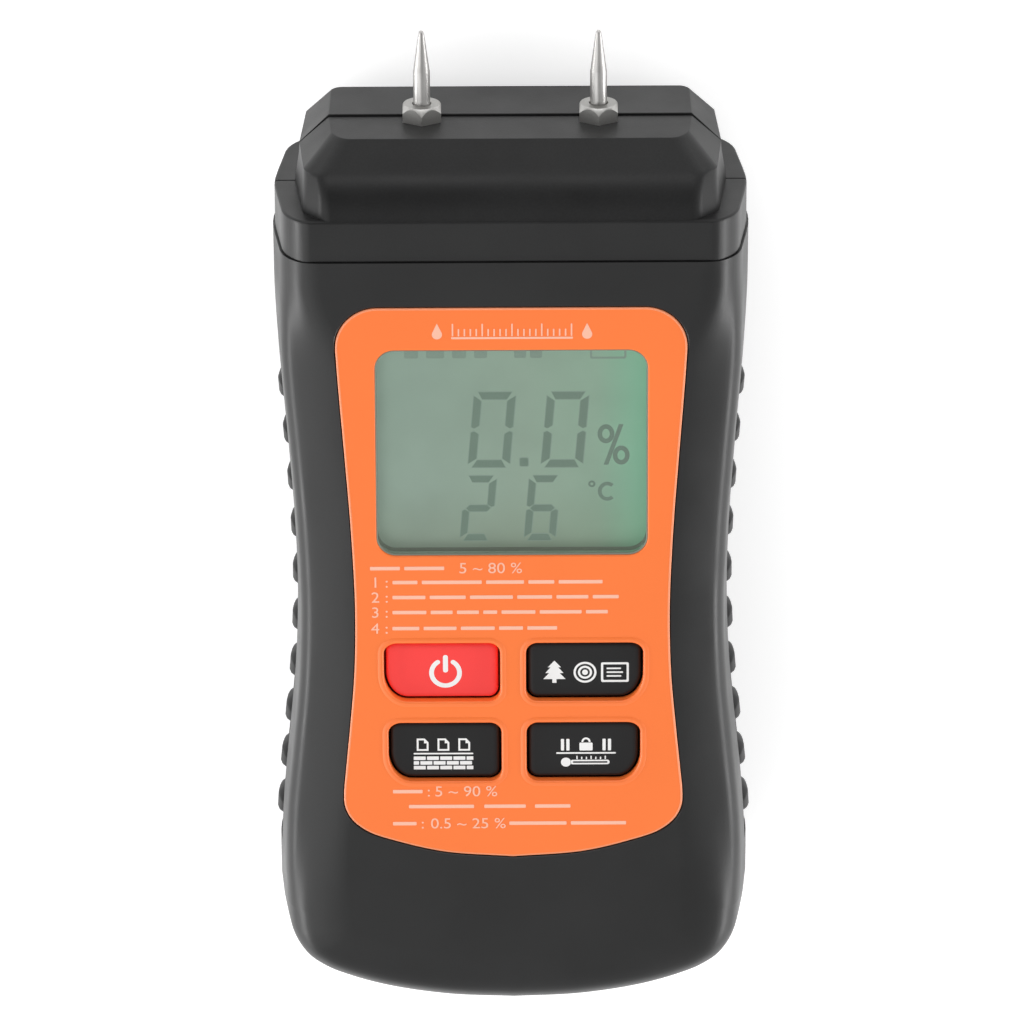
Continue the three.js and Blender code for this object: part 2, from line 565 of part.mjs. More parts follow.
// ---------------------------------------------------------------- screws
// A pan head below its bearing face at z, and a shank up to z1.
function screw(x, y, z, z1, headR, headH, r) {
  const g = new THREE.LatheGeometry(
    [[0, z - headH], [headR * 0.72, z - headH], [headR, z - headH * 0.45], [headR, z], [r, z], [r, z1], [0, z1]].map(([a, b]) => V2(a, b)),
    10,
  );
  g.rotateX(Math.PI / 2);
  let s = toSolid(g);
  if (s.volume() < 0) throw new Error("screw profile is inside out");
  s = s.translate([x, y, 0]);
  const slot = union(
    box(x - 0.35, x + 0.35, y - headR * 0.6, y + headR * 0.6, z - headH - 1, z - headH * 0.5),
    box(x - headR * 0.6, x + headR * 0.6, y - 0.35, y + 0.35, z - headH - 1, z - headH * 0.5),
  );
  return cut(s, slot);
}
SHELL_SCREWS.forEach(([x, y], i) => add("shell_screw_" + (i + 1), screw(x, y, SEAT_Z - 0.05, 24.0, 2.75, 2.0, 1.2), M.zinc));
BOARD_SCREWS.forEach(([x, y], i) => add("board_screw_" + (i + 1), screw(x, y, PCB.z0 - 0.05, 29.0, 2.0, 1.4, 0.9), M.zinc));

export default meter;
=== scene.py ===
import bpy
import json
import math
import numpy as np
from mathutils import Matrix, Vector


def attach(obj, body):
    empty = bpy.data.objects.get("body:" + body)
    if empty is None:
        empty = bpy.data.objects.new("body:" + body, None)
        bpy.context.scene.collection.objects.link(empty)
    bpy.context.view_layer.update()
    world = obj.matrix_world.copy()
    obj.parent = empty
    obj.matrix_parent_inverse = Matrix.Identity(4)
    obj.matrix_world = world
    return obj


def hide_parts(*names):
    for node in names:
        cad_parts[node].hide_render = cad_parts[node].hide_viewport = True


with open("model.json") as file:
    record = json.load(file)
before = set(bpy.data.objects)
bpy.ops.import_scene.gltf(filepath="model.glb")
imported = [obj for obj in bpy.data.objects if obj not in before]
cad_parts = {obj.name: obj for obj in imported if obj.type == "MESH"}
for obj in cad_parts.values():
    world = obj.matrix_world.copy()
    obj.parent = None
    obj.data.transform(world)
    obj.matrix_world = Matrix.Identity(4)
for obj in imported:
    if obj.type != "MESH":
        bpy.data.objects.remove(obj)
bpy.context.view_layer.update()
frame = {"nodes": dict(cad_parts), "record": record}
MM = 0.001
ZS = 17.5  # parting plane between the two shells

# ------------------------------------------------------------------ camera
ELEV = math.radians(23.6)
target = Vector((0.0, -0.00035, ZS * MM))
back = Vector((0.0, math.sin(ELEV), math.cos(ELEV)))
cam = bpy.data.objects.new("camera", bpy.data.cameras.new("camera"))
bpy.context.scene.collection.objects.link(cam)
cam.data.sensor_width = 36.0
cam.data.lens = 8300.0 * 36.0 / 1024.0
cam.data.clip_start, cam.data.clip_end = 0.05, 20.0
zc = back
yc = Vector((0, 1, 0)) - zc * zc.y
yc.normalize()
xc = yc.cross(zc)
roll = math.radians(-0.26)
x2 = xc * math.cos(roll) + yc * math.sin(roll)
y2 = yc * math.cos(roll) - xc * math.sin(roll)
m = Matrix((x2, y2, zc)).transposed().to_4x4()
m.translation = target + back * 1.2
cam.matrix_world = m
bpy.context.scene.camera = cam

# ------------------------------------------------------------------ maths of the outlines (millimetres)
def spline(points, count):
    """Centripetal Catmull-Rom through the points, resampled at equal arc length."""
    p = [np.array(q, float) for q in points]
    p = [2 * p[0] - p[1]] + p + [2 * p[-1] - p[-2]]
    fine = []
    for i in range(1, len(p) - 2):
        p0, p1, p2, p3 = p[i - 1 : i + 3]
        t0 = 0.0
        t1 = t0 + np.linalg.norm(p1 - p0) ** 0.5
        t2 = t1 + np.linalg.norm(p2 - p1) ** 0.5
        t3 = t2 + np.linalg.norm(p3 - p2) ** 0.5
        for k in range(40):
            t = t1 + (t2 - t1) * k / 40
            a1 = (t1 - t) / (t1 - t0) * p0 + (t - t0) / (t1 - t0) * p1
            a2 = (t2 - t) / (t2 - t1) * p1 + (t - t1) / (t2 - t1) * p2
            a3 = (t3 - t) / (t3 - t2) * p2 + (t - t2) / (t3 - t2) * p3
            b1 = (t2 - t) / (t2 - t0) * a1 + (t - t0) / (t2 - t0) * a2
            b2 = (t3 - t) / (t3 - t1) * a2 + (t - t1) / (t3 - t1) * a3
            fine.append((t2 - t) / (t2 - t1) * b1 + (t - t1) / (t2 - t1) * b2)
    fine.append(p[-2])
    fine = np.array(fine)
    s = np.concatenate([[0], np.cumsum(np.linalg.norm(np.diff(fine, axis=0), axis=1))])
    u = np.linspace(0, s[-1], count + 1)
    return np.stack([np.interp(u, s, fine[:, 0]), np.interp(u, s, fine[:, 1])], 1)


def mirrored(half):
    """Right half, top to bottom, made into a counter-clockwise run: left top, down, round the bottom, right top."""
    left = half * [-1, 1]
    return np.concatenate([left, half[::-1][1:]])


def inward(run, d, closed=False):
    d = np.broadcast_to(np.asarray(d, float), (len(run),))[:, None]
    if closed:
        t = np.roll(run, -1, 0) - np.roll(run, 1, 0)
    else:
        t = np.gradient(run, axis=0)
    t = t / np.linalg.norm(t, axis=1)[:, None]
    return run + np.stack([-t[:, 1], t[:, 0]], 1) * d


def arc(cx, cy, rx, ry, a0, a1, n):
    a = np.radians(np.linspace(a0, a1, n + 1))
    return np.stack([cx + rx * np.cos(a), cy + ry * np.sin(a)], 1)


def round_rect(w, h, r, cx=0.0, cy=0.0, n=10):
    return np.concatenate([
        arc(cx + w / 2 - r, cy + h / 2 - r, r, r, 0, 90, n),
        arc(cx - w / 2 + r, cy + h / 2 - r, r, r, 90, 180, n),
        arc(cx - w / 2 + r, cy - h / 2 + r, r, r, 180, 270, n),
        arc(cx + w / 2 - r, cy - h / 2 + r, r, r, 270, 360, n)])


def smooth(a, b, x):
    t = np.clip((np.asarray(x, float) - a) / (b - a), 0, 1)
    return t * t * (3 - 2 * t)


def bar(x0, x1, y0, y1, r=None, n=5):
    r = min(x1 - x0, y1 - y0) * 0.5 - 1e-3 if r is None else r
    return round_rect(x1 - x0, y1 - y0, r, (x0 + x1) / 2, (y0 + y1) / 2, n)


# the printed artwork is set out on a fine grid and turned into mm here
PX = 1 / 7.03


def at(px, py, z):
    """x, y in mm of a point of the artwork grid, on the plane at height z."""
    e = ELEV
    dx, dy = (px - 512.0 + (py - 512) * math.tan(roll)), (512 - py)
    # solve for y on the plane z
    zr = z - ZS
    y = 0.0
    for _ in range(6):
        depth = 1200 - ((y + 0.35) * math.sin(e) + zr * math.cos(e))
        y = (dy / 8300 * depth + zr * math.sin(e)) / math.cos(e) - 0.35
    x = dx / 8300 * depth
    return x, y


def dims(px, z=34.0):
    return px * (1200 - (z - ZS) * math.cos(ELEV)) / 8300


# ------------------------------------------------------------------ meshes
def make(name, verts, faces, mat=None):
    me = bpy.data.meshes.new(name)
    me.from_pydata((np.asarray(verts, float) * MM).tolist(), [], faces)
    me.update()
    o = bpy.data.objects.new(name, me)
    bpy.context.scene.collection.objects.link(o)
    if mat:
        me.materials.append(mat)
    return o


def loft_data(rings, closed_loop=False):
    """rings: list of (n, 3) arrays with equal counts, each a closed ring. Capped with one face at each end, unless it closes on itself."""
    n = len(rings[0])
    k = len(rings)
    verts = np.concatenate(rings)
    faces = []
    for j in range(k if closed_loop else k - 1):
        a0, b0 = j * n, ((j + 1) % k) * n
        for i in range(n):
            i2 = (i + 1) % n
            faces.append((a0 + i, a0 + i2, b0 + i2, b0 + i))
    if not closed_loop:
        faces.append(tuple(range(n))[::-1])
        faces.append(tuple(range((k - 1) * n, k * n)))
    # make it face outwards
    v = verts
    vol = 0.0
    for f in faces:
        p0 = v[f[0]]
        for a, b in zip(f[1:-1], f[2:]):
            vol += np.dot(p0, np.cross(v[a], v[b]))
    if vol < 0:
        faces = [tuple(reversed(f)) for f in faces]
    return verts, faces


def lift(ring2, z):
    return np.column_stack([ring2, np.broadcast_to(z, (len(ring2),))])


def stack(name, rings, mat=None):
    """rings: list of (z, (n, 2) array)."""
    return make(name, *loft_data([lift(r, z) for z, r in rings]), mat)


def stack_y(name, rings, mat=None):
    """rings: list of (y, (n, 2) array of x, z)."""
    return make(name, *loft_data([np.column_stack([r[:, 0], np.full(len(r), y), r[:, 1]]) for y, r in rings]), mat)


def box(name, x0, x1, y0, y1, z0, z1, mat=None):
    r = np.array([[x0, y0], [x1, y0], [x1, y1], [x0, y1]], float)
    return stack(name, [(z0, r), (z1, r)], mat)


def rod(name, x, y, z0, z1, r, n=40, mat=None, profile=None):
    prof = profile or [(z0, r), (z1, r)]
    a = np.linspace(0, 2 * math.pi, n, endpoint=False)
    c = np.stack([np.cos(a), np.sin(a)], 1)
    return stack(name, [(z, c * q + [x, y]) for z, q in prof], mat)


def lathe_y(name, profile, x, z, n=48, mat=None, turn=0.0):
    """profile: (radius, y), radii above zero; closed at both ends with a flat face."""
    a = np.linspace(0, 2 * math.pi, n, endpoint=False) + turn
    c = np.stack([np.sin(a), np.cos(a)], 1)
    return stack_y(name, [(y, c * r + [x, z]) for r, y in profile], mat)


def boolean(o, tool, op="DIFFERENCE"):
    tools = tool if isinstance(tool, (list, tuple)) else [tool]
    for t in tools:
        md = o.modifiers.new("b", "BOOLEAN")
        md.operation = op
        md.object = t
        try:
            md.solver = "MANIFOLD"
        except TypeError:
            md.solver = "EXACT"
    dg = bpy.context.evaluated_depsgraph_get()
    me = bpy.data.meshes.new_from_object(o.evaluated_get(dg))
    o.modifiers.clear()
    old = o.data
    o.data = me
    bpy.data.meshes.remove(old)
    for t in tools:
        d = t.data
        bpy.data.objects.remove(t)
        bpy.data.meshes.remove(d)
    return o


def shade(o, angle=30.0, weighted=True):
    me = o.data
    me.shade_smooth()
    me.set_sharp_from_angle(angle=math.radians(angle))
    if weighted:
        w = o.modifiers.new("normals", "WEIGHTED_NORMAL")
        w.keep_sharp = True
        w.weight = 60
    return o


def finish_piece(o, body, mat, slot, *nodes, angle=30.0, weighted=True):
    o.data.materials.clear()
    o.data.materials.append(mat)
    shade(o, angle, weighted)
    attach(o, body)
    if nodes:
        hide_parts(*nodes)
    return o


# ------------------------------------------------------------------ light levels
# emission for the display glass and its marks: painted brightness standing in for light reaching the recessed display
LCD_PAINTED_EMISSION = 0.55
SKY, SKY_ZENITH, SKY_LEFT, SKY_RIGHT = 0.70, 0.56, 1.45, 0.10
LEFT_POWER, RIGHT_POWER, FAR_POWER = 5.6, 5.6, 2.4


# ------------------------------------------------------------------ materials
def new_mat(name):
    mt = bpy.data.materials.new(name)
    mt.use_nodes = True
    nt = mt.node_tree
    nt.nodes.clear()
    out = nt.nodes.new("ShaderNodeOutputMaterial")
    return mt, nt, out


def plastic(name, color, rough=0.5, grain=0.22, depth=0.010, spread=0.10, spec=0.5, metal=0.0, blotch=0.012, rough_spread=0.06, coat=0.0, streak=None, tint=None, painted_emission=0.0):
    """Moulded plastic, rubber or metal: a fine all-over grain in the normal (grain and depth in mm), slow colour and
    gloss variation, and an optional emission of its own colour as painted light.
    """
    mt, nt, out = new_mat(name)
    N, L = nt.nodes, nt.links
    tc = N.new("ShaderNodeTexCoord")
    bsdf = N.new("ShaderNodeBsdfPrincipled")
    big = N.new("ShaderNodeTexNoise")
    big.inputs["Scale"].default_value = 1.0 / blotch
    big.inputs["Detail"].default_value = 5.0
    L.new(tc.outputs["Object"], big.inputs["Vector"])
    fine = N.new("ShaderNodeTexNoise")
    fine.inputs["Scale"].default_value = 1.0 / (grain * MM)
    fine.inputs["Detail"].default_value = 3.0
    fine.inputs["Roughness"].default_value = 0.62
    L.new(tc.outputs["Object"], fine.inputs["Vector"])
    ramp = N.new("ShaderNodeValToRGB")
    lo = [max(0.0, c * (1 - spread)) for c in color[:3]]
    hi = [min(1.0, c * (1 + spread)) for c in color[:3]]
    ramp.color_ramp.elements[0].position = 0.32
    ramp.color_ramp.elements[1].position = 0.68
    ramp.color_ramp.elements[0].color = (*lo, 1)
    ramp.color_ramp.elements[1].color = (*hi, 1)
    L.new(big.outputs["Fac"], ramp.inputs["Fac"])
    speck = N.new("ShaderNodeMapRange")
    speck.inputs["From Min"].default_value = 0.35
    speck.inputs["From Max"].default_value = 0.65
    speck.inputs["To Min"].default_value = 1 - spread
    speck.inputs["To Max"].default_value = 1 + spread
    L.new(fine.outputs["Fac"], speck.inputs["Value"])
    mul = N.new("ShaderNodeMix")
    mul.data_type = "RGBA"
    mul.blend_type = "MULTIPLY"
    mul.inputs["Factor"].default_value = 1.0
    L.new(ramp.outputs["Color"], mul.inputs["A"])
    L.new(speck.outputs["Result"], mul.inputs["B"])
    L.new(mul.outputs["Result"], bsdf.inputs["Base Color"])
    rr = N.new("ShaderNodeMapRange")
    rr.inputs["From Min"].default_value = 0.3
    rr.inputs["From Max"].default_value = 0.7
    rr.inputs["To Min"].default_value = max(0.02, rough - rough_spread)
    rr.inputs["To Max"].default_value = min(1.0, rough + rough_spread)
    L.new(big.outputs["Fac"], rr.inputs["Value"])
    L.new(rr.outputs["Result"], bsdf.inputs["Roughness"])
    bump = N.new("ShaderNodeBump")
    bump.inputs["Strength"].default_value = 1.0
    bump.inputs["Distance"].default_value = depth * MM
    L.new(fine.outputs["Fac"], bump.inputs["Height"])
    last = bump
    if streak:
        # turned or drawn marks: very thin bands along one axis
        wv = N.new("ShaderNodeTexWave")
        wv.wave_type = "BANDS"
        wv.bands_direction = streak[0]
        wv.inputs["Scale"].default_value = streak[1]
        wv.inputs["Distortion"].default_value = 1.5
        wv.inputs["Detail"].default_value = 3.0
        wv.inputs["Detail Scale"].default_value = 2.0
        L.new(tc.outputs["Object"], wv.inputs["Vector"])
        b2 = N.new("ShaderNodeBump")
        b2.inputs["Strength"].default_value = 1.0
        b2.inputs["Distance"].default_value = streak[2] * MM
        L.new(wv.outputs["Fac"], b2.inputs["Height"])
        L.new(bump.outputs["Normal"], b2.inputs["Normal"])
        last = b2
    L.new(last.outputs["Normal"], bsdf.inputs["Normal"])
    bsdf.inputs["Metallic"].default_value = metal
    bsdf.inputs["Specular IOR Level"].default_value = spec
    # emission of the surface's own colour: painted light
    if painted_emission:
        L.new(mul.outputs["Result"], bsdf.inputs["Emission Color"])
        bsdf.inputs["Emission Strength"].default_value = painted_emission
    if tint is not None:
        bsdf.inputs["Specular Tint"].default_value = (tint, tint, tint, 1)
    if coat:
        bsdf.inputs["Coat Weight"].default_value = coat
        bsdf.inputs["Coat Roughness"].default_value = 0.12
    L.new(bsdf.outputs["BSDF"], out.inputs["Surface"])
    return mt


M = {
    # the head's copy of the casing has less sheen so that it reads darker: painted shade
    "casing_head_shaded": plastic("casing_head_shaded", (0.0122, 0.0123, 0.0125), 0.42, grain=0.32, depth=0.0110, spread=0.10, spec=0.21),
    "casing": plastic("casing", (0.0120, 0.0121, 0.0123), 0.39, grain=0.17, depth=0.0075, spread=0.09, spec=0.36),
    "grip": plastic("grip_rubber", (0.0070, 0.0071, 0.0073), 0.46, grain=0.15, depth=0.008, spread=0.10, spec=0.26),
    "plate": plastic("faceplate", (0.95, 0.195, 0.036), 0.42, grain=0.10, depth=0.0012, spread=0.014, blotch=0.02, spec=0.4),
    "rim": plastic("faceplate_rim", (0.93, 0.195, 0.040), 0.34, grain=0.10, depth=0.001, spread=0.014, spec=0.5),
    # a lighter, pinker orange for the faceplate's bevelled edge band: painted highlight
    "edge": plastic("faceplate_edge_highlight", (0.90, 0.30, 0.14), 0.38, grain=0.10, depth=0.001, spread=0.02),
    "red": plastic("red_key", (0.94, 0.050, 0.046), 0.50, grain=0.12, depth=0.004, spread=0.02, spec=0.4),
    "black": plastic("black_key", (0.0095, 0.0095, 0.0100), 0.50, grain=0.12, depth=0.005, spread=0.08, spec=0.3),
    "ink": plastic("plate_print", (0.92, 0.50, 0.36), 0.5, grain=0.10, depth=0.001, spread=0.02, spec=0.3),
    "white_ink": plastic("key_print", (0.86, 0.86, 0.85), 0.5, grain=0.10, depth=0.001, spread=0.02, spec=0.3),
    "steel": plastic("pin_steel", (0.50, 0.492, 0.48), 0.41, grain=0.09, depth=0.0016, spread=0.05, metal=1.0, rough_spread=0.05, streak=("Y", 1300.0, 0.0045), tint=0.35),
    "hex": plastic("pin_hex_steel", (0.46, 0.455, 0.44), 0.38, grain=0.10, depth=0.0030, spread=0.06, metal=1.0, rough_spread=0.05, streak=("Z", 700.0, 0.0016), tint=0.5),
    "zinc": plastic("zinc", (0.52, 0.53, 0.54), 0.36, grain=0.12, depth=0.003, spread=0.06, metal=1.0),
    "brass": plastic("brass", (0.55, 0.36, 0.12), 0.34, grain=0.12, depth=0.003, spread=0.06, metal=1.0),
    "board": plastic("board", (0.013, 0.105, 0.040), 0.35, grain=0.5, depth=0.004, spread=0.10),
    "white": plastic("white_plastic", (0.72, 0.72, 0.69), 0.5, grain=0.2, depth=0.004, spread=0.03),
    "silicone": plastic("silicone", (0.045, 0.046, 0.048), 0.62, grain=0.2, depth=0.006, spread=0.08),
    "carbon": plastic("carbon", (0.010, 0.010, 0.010), 0.6, grain=0.1, depth=0.006, spread=0.1),
    "chip": plastic("chip", (0.012, 0.012, 0.0125), 0.45, grain=0.12, depth=0.006, spread=0.1),
    "cap": plastic("capacitor", (0.02, 0.045, 0.13), 0.3, grain=0.2, depth=0.002, spread=0.06),
    "wire_red": plastic("wire_red", (0.46, 0.014, 0.010), 0.4, grain=0.2, depth=0.004, spread=0.05),
    "wire_black": plastic("wire_black", (0.012, 0.012, 0.012), 0.4, grain=0.2, depth=0.004, spread=0.08),
    "cell": plastic("battery_jacket", (0.045, 0.085, 0.15), 0.26, grain=0.2, depth=0.002, spread=0.05, coat=0.3),
    "cell_band": plastic("battery_band", (0.62, 0.40, 0.12), 0.28, grain=0.2, depth=0.002, spread=0.05, metal=0.6),
    "foam": plastic("foam", (0.03, 0.03, 0.032), 0.9, grain=0.5, depth=0.06, spread=0.15, spec=0.2),
}


def lcd_material():
    """Reflective liquid-crystal glass: grey-green, with a painted backlight glow that turns it greener to the right,
    painted shade that dims it along the bottom edge under the window's rim, and an emission that paints it brighter.
    """
    mt, nt, out = new_mat("lcd")
    N, L = nt.nodes, nt.links
    tc = N.new("ShaderNodeTexCoord")
    sep = N.new("ShaderNodeSeparateXYZ")
    L.new(tc.outputs["Object"], sep.inputs["Vector"])
    # painted glow: greener towards the right edge, standing in for backlight leaking in from that side
    gx = N.new("ShaderNodeMapRange")
    gx.inputs["From Min"].default_value = -0.019
    gx.inputs["From Max"].default_value = 0.019
    L.new(sep.outputs["X"], gx.inputs["Value"])
    rx = N.new("ShaderNodeValToRGB")
    e = rx.color_ramp.elements
    e[0].position, e[0].color = 0.0, (0.262, 0.348, 0.287, 1)
    e[1].position, e[1].color = 1.0, (0.200, 0.430, 0.290, 1)
    for pos, c in ((0.14, (0.268, 0.352, 0.292, 1)), (0.55, (0.275, 0.362, 0.290, 1)), (0.82, (0.262, 0.376, 0.288, 1))):
        k = e.new(pos)
        k.color = c
    L.new(gx.outputs["Result"], rx.inputs["Fac"])
    # painted shade: the glass is dimmed along its bottom edge, where the window's rim shades the recessed display
    gy = N.new("ShaderNodeMapRange")
    gy.inputs["From Min"].default_value = -0.0005
    gy.inputs["From Max"].default_value = 0.0325
    L.new(sep.outputs["Y"], gy.inputs["Value"])
    ry = N.new("ShaderNodeValToRGB")
    e = ry.color_ramp.elements
    e[0].position, e[0].color = 0.0, (0.74, 0.70, 0.66, 1)
    e[1].position, e[1].color = 1.0, (0.97, 1.0, 0.99, 1)
    k = e.new(0.12)
    k.color = (0.93, 0.91, 0.88, 1)
    k = e.new(0.30)
    k.color = (1.0, 1.0, 1.0, 1)
    L.new(gy.outputs["Result"], ry.inputs["Fac"])
    mul = N.new("ShaderNodeMix")
    mul.data_type = "RGBA"
    mul.blend_type = "MULTIPLY"
    mul.inputs["Factor"].default_value = 1.0
    L.new(rx.outputs["Color"], mul.inputs["A"])
    L.new(ry.outputs["Color"], mul.inputs["B"])
    noise = N.new("ShaderNodeTexNoise")
    noise.inputs["Scale"].default_value = 140.0
    noise.inputs["Detail"].default_value = 4.0
    L.new(tc.outputs["Object"], noise.inputs["Vector"])
    vr = N.new("ShaderNodeMapRange")
    vr.inputs["From Min"].default_value = 0.35
    vr.inputs["From Max"].default_value = 0.65
    vr.inputs["To Min"].default_value = 0.965
    vr.inputs["To Max"].default_value = 1.035
    L.new(noise.outputs["Fac"], vr.inputs["Value"])
    mul2 = N.new("ShaderNodeMix")
    mul2.data_type = "RGBA"
    mul2.blend_type = "MULTIPLY"
    mul2.inputs["Factor"].default_value = 1.0
    L.new(mul.outputs["Result"], mul2.inputs["A"])
    L.new(vr.outputs["Result"], mul2.inputs["B"])
    bsdf = N.new("ShaderNodeBsdfPrincipled")
    L.new(mul2.outputs["Result"], bsdf.inputs["Base Color"])
    # the glass emits its own colour: painted brightness
    L.new(mul2.outputs["Result"], bsdf.inputs["Emission Color"])
    bsdf.inputs["Emission Strength"].default_value = LCD_PAINTED_EMISSION
    bsdf.inputs["Roughness"].default_value = 0.30
    bsdf.inputs["Specular IOR Level"].default_value = 0.3
    L.new(bsdf.outputs["BSDF"], out.inputs["Surface"])
    return mt


def lens_material():
    """A clear window: see-through, with the sheen of polished acrylic."""
    mt, nt, out = new_mat("lens")
    N, L = nt.nodes, nt.links
    tr = N.new("ShaderNodeBsdfTransparent")
    tr.inputs["Color"].default_value = (0.965, 0.975, 0.97, 1)
    gl = N.new("ShaderNodeBsdfGlossy")
    gl.inputs["Color"].default_value = (0.8, 0.8, 0.8, 1)
    tc = N.new("ShaderNodeTexCoord")
    nz = N.new("ShaderNodeTexNoise")
    nz.inputs["Scale"].default_value = 60.0
    L.new(tc.outputs["Object"], nz.inputs["Vector"])
    rr = N.new("ShaderNodeMapRange")
    rr.inputs["To Min"].default_value = 0.03
    rr.inputs["To Max"].default_value = 0.09
    L.new(nz.outputs["Fac"], rr.inputs["Value"])
    L.new(rr.outputs["Result"], gl.inputs["Roughness"])
    fr = N.new("ShaderNodeFresnel")
    fr.inputs["IOR"].default_value = 1.38
    mix = N.new("ShaderNodeMixShader")
    L.new(fr.outputs["Fac"], mix.inputs["Fac"])
    L.new(tr.outputs["BSDF"], mix.inputs[1])
    L.new(gl.outputs["BSDF"], mix.inputs[2])
    L.new(mix.outputs["Shader"], out.inputs["Surface"])
    return mt


M["lcd"] = lcd_material()
M["lens"] = lens_material()
# the marks glow with the display's painted emission
M["segment"] = plastic("lcd_segment", (0.150, 0.215, 0.170), 0.4, grain=0.2, depth=0.0, spread=0.03, spec=0.3, painted_emission=LCD_PAINTED_EMISSION)
# a paler widened copy of each mark: painted shadow that the marks cast on the glass behind them
M["segment_soft"] = plastic("lcd_segment_soft", (0.210, 0.285, 0.232), 0.4, grain=0.2, depth=0.0, spread=0.03, spec=0.3, painted_emission=LCD_PAINTED_EMISSION)
M["segment_faint"] = plastic("lcd_segment_faint", (0.205, 0.275, 0.225), 0.4, grain=0.2, depth=0.0, spread=0.03, spec=0.3, painted_emission=LCD_PAINTED_EMISSION)
# the window's inner wall emits a little of its colour: painted light that brightens it as seen through the lens
M["window_edge_painted_bright"] = plastic("window_edge_painted_bright", (0.17, 0.190, 0.152), 0.45, grain=0.2, depth=0.0, spread=0.05, spec=0.2, painted_emission=0.30)

# ------------------------------------------------------------------ shape data (millimetres, as in the CAD)
Y_TIP, Y_HEAD, Y_BEVEL, Y_SHOULDER, Y_LEDGE = 73.9, 60.9, 57.2, 51.25, 45.05
BODY_HALF = [
    (33.85, 45.05), (33.76, 36.0), (33.16, 24.9), (32.3, 13.8), (31.45, 0.6), (31.18, -10.2), (31.6, -21.4),
    (32.5, -31.2), (33.5, -41.2), (34.1, -50.5), (34.12, -57.0), (33.4, -62.3), (31.3, -66.2), (28.2, -68.6),
    (24.3, -70.3), (18.3, -72.05), (9.5, -73.45), (0, -73.9)]
PLATE_HALF = [
    (24.87, 31.8), (24.5, 26.0), (23.7, 14.9), (22.95, 3.7), (22.5, -8.4), (22.72, -18.4), (23.4, -26.6),
    (24.12, -34.0), (24.42, -37.4), (24.3, -39.6), (23.3, -41.7), (21.0, -43.6), (17.0, -45.1), (10.0, -46.85), (0, -47.67)]
PLATE_TOP_Y, PLATE_CORNER = 38.17, 6.0
WIN = dict(w=38.7, h=31.7, r=2.8, y=15.85)
KEYS = {
    "power_key": (-18.5, -1.8, -22.85, -13.65, -1),
    "wood_key": (1.9, 18.75, -22.85, -13.65, 1),
    "paper_wall_key": (-17.95, -1.65, -35.55, -26.23, -1),
    "hold_key": (1.95, 18.35, -35.55, -26.23, 1)}
RIB_Y0, RIB_PITCH, RIBS, RIB_PROUD, RIB_HALF = 19.98, 7.33, 10, 0.66, 2.05
GRIP = dict(z0=11.5, z1=21.5, y0=-50.6, y1=24.2, deep=1.6)
PIN_X, PIN_Z = 12.5, 18.5
SHELL_SCREWS = [(-23, 46.3), (23, 46.3), (-22.5, -57.5), (22.5, -57.5)]

half = np.concatenate([spline(BODY_HALF[:11], 84), spline(BODY_HALF[10:], 84)[1:]])
BODY_RUN = mirrored(half)


def smooth_normals():
    t = np.gradient(BODY_RUN, axis=0)
    t = t / np.linalg.norm(t, axis=1)[:, None]
    n = np.stack([-t[:, 1], t[:, 0]], 1)
    k = 15
    pad = np.concatenate([np.repeat(n[:1], k, 0), n, np.repeat(n[-1:], k, 0)])
    w = np.hanning(2 * k + 3)[1:-1]
    q = np.stack([np.convolve(pad[:, c], w / w.sum(), "valid") for c in (0, 1)], 1)
    return q / np.linalg.norm(q, axis=1)[:, None]


SOFT_N = smooth_normals()
OFFSET_LIMIT = 5.2


def body_ring(d, y=Y_LEDGE, top_extra=0.0):
    """The outline moved inwards; past the limit it moves along averaged normals, so that tight corners don't fold over."""
    d = np.broadcast_to(np.asarray(d, float), (len(BODY_RUN),))
    run = inward(BODY_RUN, np.minimum(d, OFFSET_LIMIT)) + SOFT_N * np.maximum(d - OFFSET_LIMIT, 0)[:, None]
    run[0, 1] = run[-1, 1] = y
    # where neighbouring points have passed each other they are evened out
    t = np.diff(BODY_RUN, axis=0)
    for _ in range(300):
        bad = (np.diff(run, axis=0) * t).sum(1) < 0.12 * (t * t).sum(1)
        if not bad.any():
            break
        near = np.zeros(len(run), bool)
        near[:-1] |= bad
        near[1:] |= bad
        near[0] = near[-1] = False
        even = run.copy()
        even[1:-1] = (run[:-2] + 2 * run[1:-1] + run[2:]) / 4
        run = np.where(near[:, None], even, run)
    return run


# height above the parting plane against inset, at the neck, at the waist and at the bottom
H = np.array([0, 0.15, 1.8, 4.0, 4.6, 8.0, 10.4, 11.4, 12.2, 12.7, 13.1, 13.5, 13.8, 14.05, 14.4, 14.8, 15.2, 15.6, 15.95, 16.2, 16.36, 16.45, 16.5])


def profile(points):
    h, d = zip(*points)
    return np.interp(H, h, d)


D_NECK = profile([(0, 0), (1.8, 0.06), (4.5, 0.35), (11.4, 1.25), (12.6, 1.55), (13.5, 1.95), (14.4, 2.5), (15.3, 3.3), (15.8, 3.9), (16.2, 4.7), (16.42, 5.6), (16.5, 7.0)])
D_WAIST = profile([(0, 0), (1.8, 0.03), (4.5, 0.2), (9.0, 0.55), (11.2, 0.76), (12.2, 0.96), (13.0, 1.36), (13.5, 1.76), (13.8, 2.10), (14.05, 2.50), (14.5, 3.4), (15.0, 4.5), (15.5, 5.7), (15.9, 6.8), (16.2, 7.8), (16.4, 8.7), (16.5, 9.8)])
D_LOW = profile([(0, 0), (1.8, 0.05), (4.5, 0.35), (9.5, 0.95), (11.4, 1.25), (12.6, 1.62), (13.4, 2.0), (14.2, 2.6), (14.9, 3.3), (15.4, 4.1), (15.8, 5.1), (16.1, 6.3), (16.3, 7.6), (16.45, 9.2), (16.5, 10.5)])


